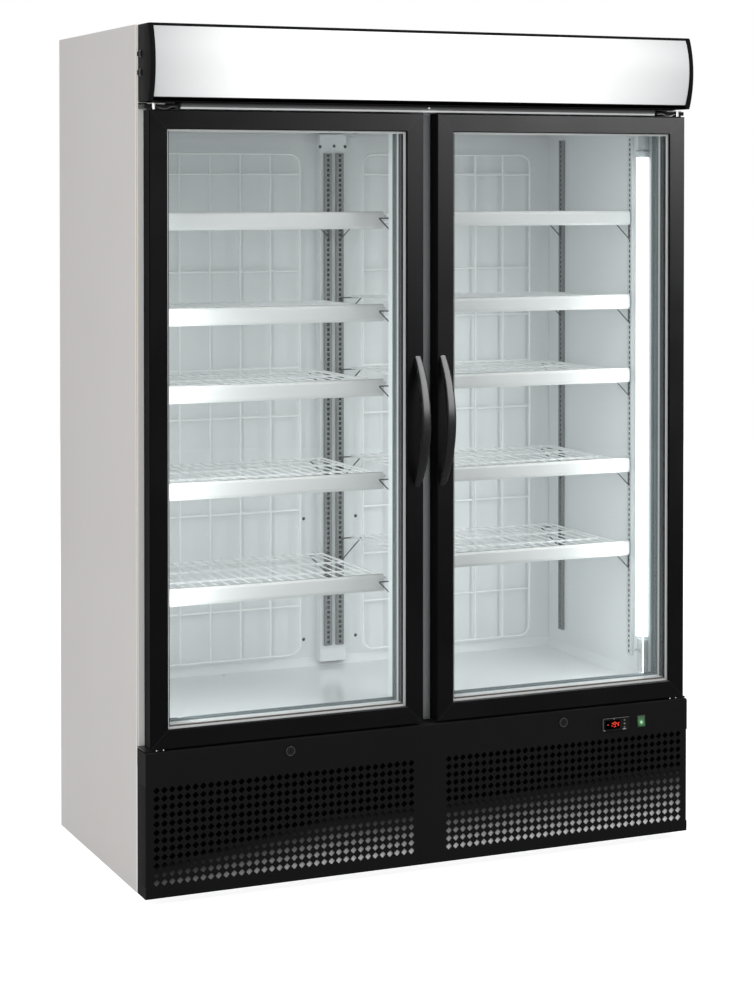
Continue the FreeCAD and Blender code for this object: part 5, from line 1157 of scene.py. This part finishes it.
class FREEZER_OT_plinth_fittings(bpy.types.Operator):
    """Adds the lock rings and the controller bezel with painted highlight lines along two of its edges, lit
    numbers and marks
    """

    bl_idname = "freezer.plinth_fittings"
    bl_label = "Plinth fittings"

    def execute(self, context):
        made = finishes(context)
        mark = finish("key_mark_white", (0.36, 0.36, 0.36), 0.5, specular=0.1)
        self.rings(made["lock_rim"])
        low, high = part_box("controller_housing")
        bm = bmesh.new()
        soft_box(bm, low, high, 0.0015, 3)
        make_piece(bm, "controller_bezel", "black_plastic", made["bezel"], "controller_housing")
        # Pale strips along the top and left edges of the bezel: a painted highlight.
        bm = bmesh.new()
        y0, y1 = low.y - 0.0002, low.y + 0.0003
        add_box(bm, (low.x + 0.0015, y0, high.z - 0.0013), (high.x - 0.0015, y1, high.z - 0.0006))
        add_box(bm, (low.x + 0.0006, y0, low.z + 0.0015), (low.x + 0.0013, y1, high.z - 0.0015))
        make_piece(bm, "bezel_highlight_lines", "black_plastic", made["bezel_edge"])
        bm = bmesh.new()
        specks = ((0.07, 0.10, 0.035, 0.07), (0.42, 0.91, 0.03, 0.06), (0.80, 0.10, 0.12, 0.07))
        for across, up, wide, tall in specks:
            x, z = low.x + across * (high.x - low.x), low.z + up * (high.z - low.z)
            dx, dz = wide * (high.x - low.x) / 2, tall * (high.z - low.z) / 2
            add_box(bm, (x - dx, y0, z - dz), (x + dx, y1, z + dz))
        make_piece(bm, "controller_specks", "key_grey", mark)
        self.digits(glow("digits_lit", context.scene.freezer_colours.digit_red, 0.6))
        self.marks(mark)
        return {"FINISHED"}

    def rings(self, rim):
        """The turned rim of each lock."""
        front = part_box("lock_housings")[0].y
        axis = Vector((0, 1, 0))
        out = axis.orthogonal().normalized()
        bm = bmesh.new()
        for joint in frame["joints"]:
            if joint["name"].endswith("lock_turn"):
                x, _, z = joint["pos_m"]
                middle = Vector((x, front + 0.0004, z))
                start = middle + out * 0.0100
                spin_wire(bm, start, axis.cross(out), middle, axis, 2 * math.pi, 0.0009, 32, 10)
        make_piece(bm, "lock_rings", "lock_chrome", rim)

    def digits(self, lit):
        """Lit strokes of the shown number, leaning a little."""
        low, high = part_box("controller_window")
        tall = (high.z - low.z) * 0.54
        wide, stroke = tall * 0.46, tall * 0.11
        gap, step, lean = stroke * 0.7, wide * 1.65, 0.10
        y0, y1 = low.y - 0.0004, low.y + 0.0002
        base = (low.z + high.z) / 2 - tall / 2
        start = (low.x + high.x) / 2 - step * 2.0 + (step - wide) / 2
        bm = bmesh.new()
        for number, mark in enumerate(("-", "1", "9", "4")):
            x = start + number * step
            for segment in DIGIT_STROKES[mark]:
                a, b, c, d = STROKE_ENDS[segment]
                x0, x1 = x + a * wide, x + c * wide
                z0, z1 = base + b * tall / 2, base + d * tall / 2
                if z0 == z1:
                    add_box(bm, (x0 + gap, y0, z0 - stroke / 2), (x1 - gap, y1, z0 + stroke / 2))
                else:
                    add_box(bm, (x0 - stroke / 2, y0, z0 + gap), (x0 + stroke / 2, y1, z1 - gap))
        dot, half = start + 2 * step + wide + (step - wide) / 2, stroke * 0.6
        add_box(bm, (dot - half, y0, base - stroke / 2), (dot + half, y1, base + stroke * 0.7))
        for vert in bm.verts:
            vert.co.x += (vert.co.z - base) * lean
        make_piece(bm, "controller_digits", "display_window", lit)

    def marks(self, mark):
        """An arrow on the upper and the lower key and a dot on the middle one."""
        for word, shape in (("up", 1), ("set", 0), ("down", -1)):
            low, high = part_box("controller_key_" + word)
            middle = (low + high) / 2
            small = min(high.x - low.x, high.z - low.z) * 0.30
            if shape:
                outline = ((-1, -shape * 0.6), (1, -shape * 0.6), (0, shape))
            else:
                turns = [number * math.pi / 6 for number in range(12)]
                outline = [(math.cos(turn), math.sin(turn)) for turn in turns]
            bm = bmesh.new()
            points = [(middle.x + small * x, low.y, middle.z + small * z) for x, z in outline]
            add_plate(bm, points, (0, -0.0002, 0))
            make_piece(bm, "key_mark_" + word, "key_grey", mark, body="key_" + word)


class FREEZER_OT_shelves(bpy.types.Operator):
    """Lays the shelf wires and folds the price rails"""

    bl_idname = "freezer.shelves"
    bl_label = "Shelves and price rails"

    def execute(self, context):
        made = finishes(context)
        sizes = context.scene.freezer_details
        for side, word in DOORS:
            low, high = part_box(word + "_price_rails")
            wires, rails, edges = bmesh.new(), bmesh.new(), bmesh.new()
            for top in RAIL_TOPS[side]:
                self.shelf(wires, side, top, sizes)
                self.rail(rails, low, high, top, RAIL_HEIGHTS[side])
                add_box(edges, (low.x, low.y + 0.0036, top), (high.x, low.y + 0.0066, top + 0.0005))
            make_piece(wires, word + "_shelf_wires", "wire_white", made["wire"], word + "_wire_shelves")
            make_piece(rails, word + "_rail_strips", "rail_white", made["rail"], word + "_price_rails")
            make_piece(edges, word + "_rail_edges", "rail_white", made["rail_edge"])
        return {"FINISHED"}

    def shelf(self, bm, side, top, sizes):
        """Thin wires from front to back on four cross wires between two border wires."""
        x0, x1 = 0.040, 0.604
        y0, y1 = -0.1445, 0.2555
        border, wire = 0.0028, sizes.shelf_wire
        z = top - 0.008 - border
        count = round((x1 - x0) / sizes.shelf_pitch)
        for number in range(1, count):
            x = side * (x0 + (x1 - x0) * number / count)
            add_rod(bm, (x, y0 + border, z + wire), (x, y1 - border, z + wire), wire, 6)
        for y in (y0 + border, y0 + 0.13, y0 + 0.26, y1 - border):
            add_rod(bm, (side * x0, y, z - wire), (side * x1, y, z - wire), border * 0.8, 6)
        for x in (x0 + border, x1 - border):
            add_rod(bm, (side * x, y0, z), (side * x, y1, z), border, 6)

    def rail(self, bm, low, high, top, tall):
        """A folded strip with its lips turned back."""
        x0, y0, y1 = low.x, low.y, high.y
        foot = top - tall
        run = [
            (x0, y1, top - 0.006),
            (x0, y1 - 0.002, top),
            (x0, y0 + 0.0035, top),
            (x0, y0 + 0.0005, top - 0.006),
            (x0, y0, foot + 0.007),
            (x0, y0 + 0.003, foot),
            (x0, y1 - 0.003, foot),
        ]
        add_folded(bm, run, (high.x - low.x, 0, 0), 0.0012, 0.0012, 3)


class FREEZER_OT_uprights(bpy.types.Operator):
    """Slots the shelf standards and sets the open gusset brackets"""

    bl_idname = "freezer.uprights"
    bl_label = "Standards and brackets"

    def execute(self, context):
        made = finishes(context)
        pitch = context.scene.freezer_details.slot_pitch
        low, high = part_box("shelf_standards")
        pale, grey, dark, brackets = (bmesh.new() for _ in range(4))
        for side in (LEFT, RIGHT):
            wall, centre = side * high.x, side * CENTRE_STANDARD_X
            for sheet, foot, out, across, top in (
                (pale, (wall, WALL_STANDARD_FRONT_Y), (-side, 0), (0, 1), high.z),
                (grey, (wall, WALL_STANDARD_REAR_Y), (-side, 0), (0, 1), high.z),
                (grey, (centre, ROOM_FRONT_Y), (0, 1), (1, 0), high.z),
                (grey, (centre, POST_Y), (0, -1), (1, 0), high.z - 0.036),
            ):
                self.standard(sheet, dark, foot, out, across, low.z, top, pitch)
            for top in RAIL_TOPS[side]:
                self.gussets(brackets, side, top - 0.0135)
        make_piece(pale, "wall_standards", "bracket_grey", made["standard_pale"], "shelf_standards")
        make_piece(grey, "centre_standards", "bracket_grey", made["standard"])
        make_piece(dark, "standard_slot_shade", "bracket_grey", made["slot"])
        make_piece(brackets, "gusset_brackets", "bracket_grey", made["bracket"], "shelf_brackets")
        return {"FINISHED"}

    def standard(self, bm, dark, foot, out, across, z0, z1, pitch):
        """A channel whose face is two strips and the bridges between its slots, with a dark strip behind them
        as painted shade.
        """
        foot, out, across = (Vector((*flat, 0)) for flat in (foot, out, across))
        deep, half, slot, wall, gap, inset = 0.008, 0.010, 0.0036, 0.0012, 0.0078, 0.002
        face = deep - wall

        def slab(into, a0, a1, d0, d1, low=z0, high=z1):
            one = foot + across * a0 + out * d0
            two = foot + across * a1 + out * d1
            start, end = Vector(map(min, one, two)), Vector(map(max, one, two))
            add_box(into, start + Vector((0, 0, low)), end + Vector((0, 0, high)))

        slab(bm, -half, -slot, face, deep)
        slab(bm, slot, half, face, deep)
        slab(bm, -half, -half + wall, 0, face)
        slab(bm, half - wall, half, 0, face)
        # The dark strip inside the channel is painted shade behind the slots.
        slab(dark, -half + wall, half - wall, face - 0.0014, face - 0.0002, z0 + inset, z1 - inset)
        for number in range(int((z1 - z0) / pitch)):
            z = z0 + number * pitch
            slab(bm, -slot, slot, face, deep, z, z + pitch - gap)

    def gussets(self, bm, side, top):
        """Open triangles under the shelf corners."""
        wide, tall, strip, sheet = 0.055, 0.056, 0.003, (0, 0.002, 0)
        drop = Vector((0, 0, -strip))
        for x, sign, y in (
            (0.620, -1, WALL_STANDARD_FRONT_Y),
            (0.620, -1, WALL_STANDARD_REAR_Y),
            (CENTRE_STANDARD_X, 1, -0.1725),
            (CENTRE_STANDARD_X, 1, 0.2600),
        ):
            a = Vector((side * x, y - 0.001, top))
            b = a + Vector((side * sign * wide, 0, 0))
            c = a - Vector((0, 0, tall))
            inward = Vector((side * sign * strip, 0, 0))
            add_plate(bm, [a, b, b + drop, a + drop], sheet)
            add_plate(bm, [b, b + drop * 1.3, c + drop, c], sheet)
            add_plate(bm, [a, a + inward, c + inward, c], sheet)


class FREEZER_OT_guards(bpy.types.Operator):
    """Bends the wire guards in front of the back wall"""

    bl_idname = "freezer.guards"
    bl_label = "Back guards"

    def execute(self, context):
        sizes = context.scene.freezer_details
        wire, bend, y = sizes.guard_wire, 0.028, 0.2855
        low, high = GUARD_BARS[0] + wire, GUARD_BARS[-1] - wire
        bm = bmesh.new()
        for side in (LEFT, RIGHT):
            inner, outer = sorted((side * 0.086, side * 0.562))
            for z in (low, high):
                add_rod(bm, (inner + bend, y, z), (outer - bend, y, z), wire)
            for x in (inner, outer):
                add_rod(bm, (x, y, low + bend), (x, y, high - bend), wire)
            for x, across in ((inner, Vector((1, 0, 0))), (outer, Vector((-1, 0, 0)))):
                for z, up in ((low, Vector((0, 0, 1))), (high, Vector((0, 0, -1)))):
                    start = Vector((x, y, z)) + across * bend
                    axis = -across.cross(up)
                    spin_wire(bm, start, across, start + up * bend, axis, math.pi / 2, wire, 6)
            count = round((outer - inner) / sizes.guard_pitch)
            for number in range(1, count):
                x = inner + (outer - inner) * number / count
                add_rod(bm, (x, y, low), (x, y, high), wire)
            for z in GUARD_BARS[1:-1]:
                add_rod(bm, (inner, y + wire * 1.2, z), (outer, y + wire * 1.2, z), wire)
        make_piece(bm, "guard_wires", "wire_white", finishes(context)["wire"], "back_guards")
        return {"FINISHED"}


class FREEZER_OT_lamps(bpy.types.Operator):
    """Fits the upright lamps on the side walls with their holders"""

    bl_idname = "freezer.lamps"
    bl_label = "Wall lamps"

    def execute(self, context):
        made = finishes(context)
        stage = context.scene.freezer_stage
        lit = glow("lamp_cover_lit", (0.95, 0.985, 1.0), stage.lamp_glow)
        low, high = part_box("wall_lamps")
        foot, top = low.z - 0.078, high.z + 0.057
        y = (low.y + high.y) / 2
        covers, bases, clips = bmesh.new(), bmesh.new(), bmesh.new()
        for side in (LEFT, RIGHT):
            wall = side * high.x
            x0, x1 = sorted((wall, wall - side * 0.004))
            soft_box(bases, (x0, low.y, foot), (x1, high.y, top), 0.0010)
            x0, x1 = sorted((wall - side * 0.004, wall - side * 0.018))
            for z0, z1 in ((foot, low.z + 0.004), (high.z - 0.004, top)):
                soft_box(bases, (x0, y - 0.016, z0), (x1, y + 0.016, z1), 0.004, 3)
            for z in (low.z - 0.026, high.z + 0.016):
                self.clip(clips, wall, side, y, z)
            self.cover(covers, wall - side * 0.0135, y, low.z + 0.012, high.z)
            place = Vector((wall - side * 0.030, y - 0.035, 0.89))
            hang_lamp("cabin_light", stage.lamp_light, (0.03, 1.0), place, (0.0, place.y + 0.30, place.z))
        make_piece(covers, "lamp_covers", "lamp_white", lit, "wall_lamps")
        make_piece(bases, "lamp_channels", "lamp_white", made["lamp_channel"])
        make_piece(clips, "lamp_clips", "hinge_zinc", made["zinc"])
        return {"FINISHED"}

    def cover(self, bm, x, y, low, high):
        """The oval lit cover between its two holders."""
        place = Matrix.Translation((x, y, low)) @ Matrix.Diagonal((0.0135, 0.0185, 1, 1))
        start = bmesh.ops.create_circle(bm, cap_ends=True, segments=24, radius=1.0, matrix=place)["verts"]
        base = next(item for item in bm.faces if set(item.verts) == set(start))
        push(bm, base, (0, 0, high - low))

    def clip(self, bm, wall, side, y, z):
        """A bright spring clip bent round a holder."""
        x0, x1, reach = wall - side * 0.004, wall - side * 0.020, 0.018
        for end in (y - reach, y + reach):
            add_rod(bm, (x0, end, z), (x1, end, z), 0.0016)
        add_rod(bm, (x1, y - reach, z), (x1, y + reach, z), 0.0022)


class FREEZER_OT_liner_fittings(bpy.types.Operator):
    """Sets the sloped floor rim, the drain and the screw heads in the cold room"""

    bl_idname = "freezer.liner_fittings"
    bl_label = "Floor rim and screws"

    def execute(self, context):
        made = finishes(context)
        deep, top = 0.016, FLOOR_Z + 0.020
        front, back = ROOM_FRONT_Y, BACK_Y
        bm = bmesh.new()
        for side in (LEFT, RIGHT):
            x0, x1 = side * WALL_X, side * (WALL_X - deep)
            outline = [(x0, front, FLOOR_Z), (x1, front, FLOOR_Z), (x0, front, top)]
            add_plate(bm, outline, (0, back - front, 0))
        outline = [(-WALL_X, back, FLOOR_Z), (-WALL_X, back - deep, FLOOR_Z), (-WALL_X, back, top)]
        add_plate(bm, outline, (2 * WALL_X, 0, 0))
        make_piece(bm, "floor_rim", "liner_white", made["liner"])
        bm = bmesh.new()
        for place in SCREWS:
            add_screw(bm, place, 0.0042)
        drain = Vector((-0.295, back - 0.030, FLOOR_Z))
        add_rod(bm, drain, drain + Vector((0, 0, 0.0006)), 0.0035, 16)
        make_piece(bm, "liner_screws", "bracket_grey", made["bracket"])
        return {"FINISHED"}


class FREEZER_OT_sheen(bpy.types.Operator):
    """Lets only the door profiles mirror the sheen panel, and only the handles their own"""

    bl_idname = "freezer.sheen"
    bl_label = "Sheen"

    def execute(self, context):
        profiles = bpy.data.collections.new("sheen_receivers")
        grips = bpy.data.collections.new("handle_receivers")
        for _, word in DOORS:
            profiles.objects.link(frame["nodes"][word + "_door_frame"])
            grips.objects.link(bpy.data.objects[word + "_bow_handle"])
        bpy.data.objects["sheen_panel"].light_linking.receiver_collection = profiles
        bpy.data.objects["handle_panel"].light_linking.receiver_collection = grips
        return {"FINISHED"}


class FREEZER_PT_panel(bpy.types.Panel):
    """Lists the steps that dress the freezer"""

    bl_label = "Freezer"
    bl_idname = "FREEZER_PT_panel"
    bl_space_type = "VIEW_3D"
    bl_region_type = "UI"
    bl_category = "Freezer"

    def draw(self, context):
        for operator in OPERATORS:
            self.layout.operator(operator.bl_idname, text=operator.bl_label)


GROUPS = (FreezerColours, FreezerDetails, FreezerStage)
OPERATORS = (
    FREEZER_OT_stage,
    FREEZER_OT_frame_finishes,
    FREEZER_OT_side_panels,
    FREEZER_OT_sign_box,
    FREEZER_OT_glazing,
    FREEZER_OT_handles,
    FREEZER_OT_hinges,
    FREEZER_OT_plinth,
    FREEZER_OT_plinth_fittings,
    FREEZER_OT_shelves,
    FREEZER_OT_uprights,
    FREEZER_OT_guards,
    FREEZER_OT_lamps,
    FREEZER_OT_liner_fittings,
    FREEZER_OT_sheen,
)


def register():
    """Registers the settings, the operators and the panel."""
    for item in (*GROUPS, *OPERATORS, FREEZER_PT_panel):
        bpy.utils.register_class(item)
    bpy.types.Scene.freezer_colours = bpy.props.PointerProperty(type=FreezerColours)
    bpy.types.Scene.freezer_details = bpy.props.PointerProperty(type=FreezerDetails)
    bpy.types.Scene.freezer_stage = bpy.props.PointerProperty(type=FreezerStage)


def unregister():
    """Removes what register added."""
    del bpy.types.Scene.freezer_stage
    del bpy.types.Scene.freezer_details
    del bpy.types.Scene.freezer_colours
    for item in (FREEZER_PT_panel, *reversed(OPERATORS), *reversed(GROUPS)):
        bpy.utils.unregister_class(item)


def main():
    """Dresses the freezer."""
    register()
    for operator in OPERATORS:
        group, name = operator.bl_idname.split(".")
        getattr(getattr(bpy.ops, group), name)()


if __name__ == "__main__":
    main()
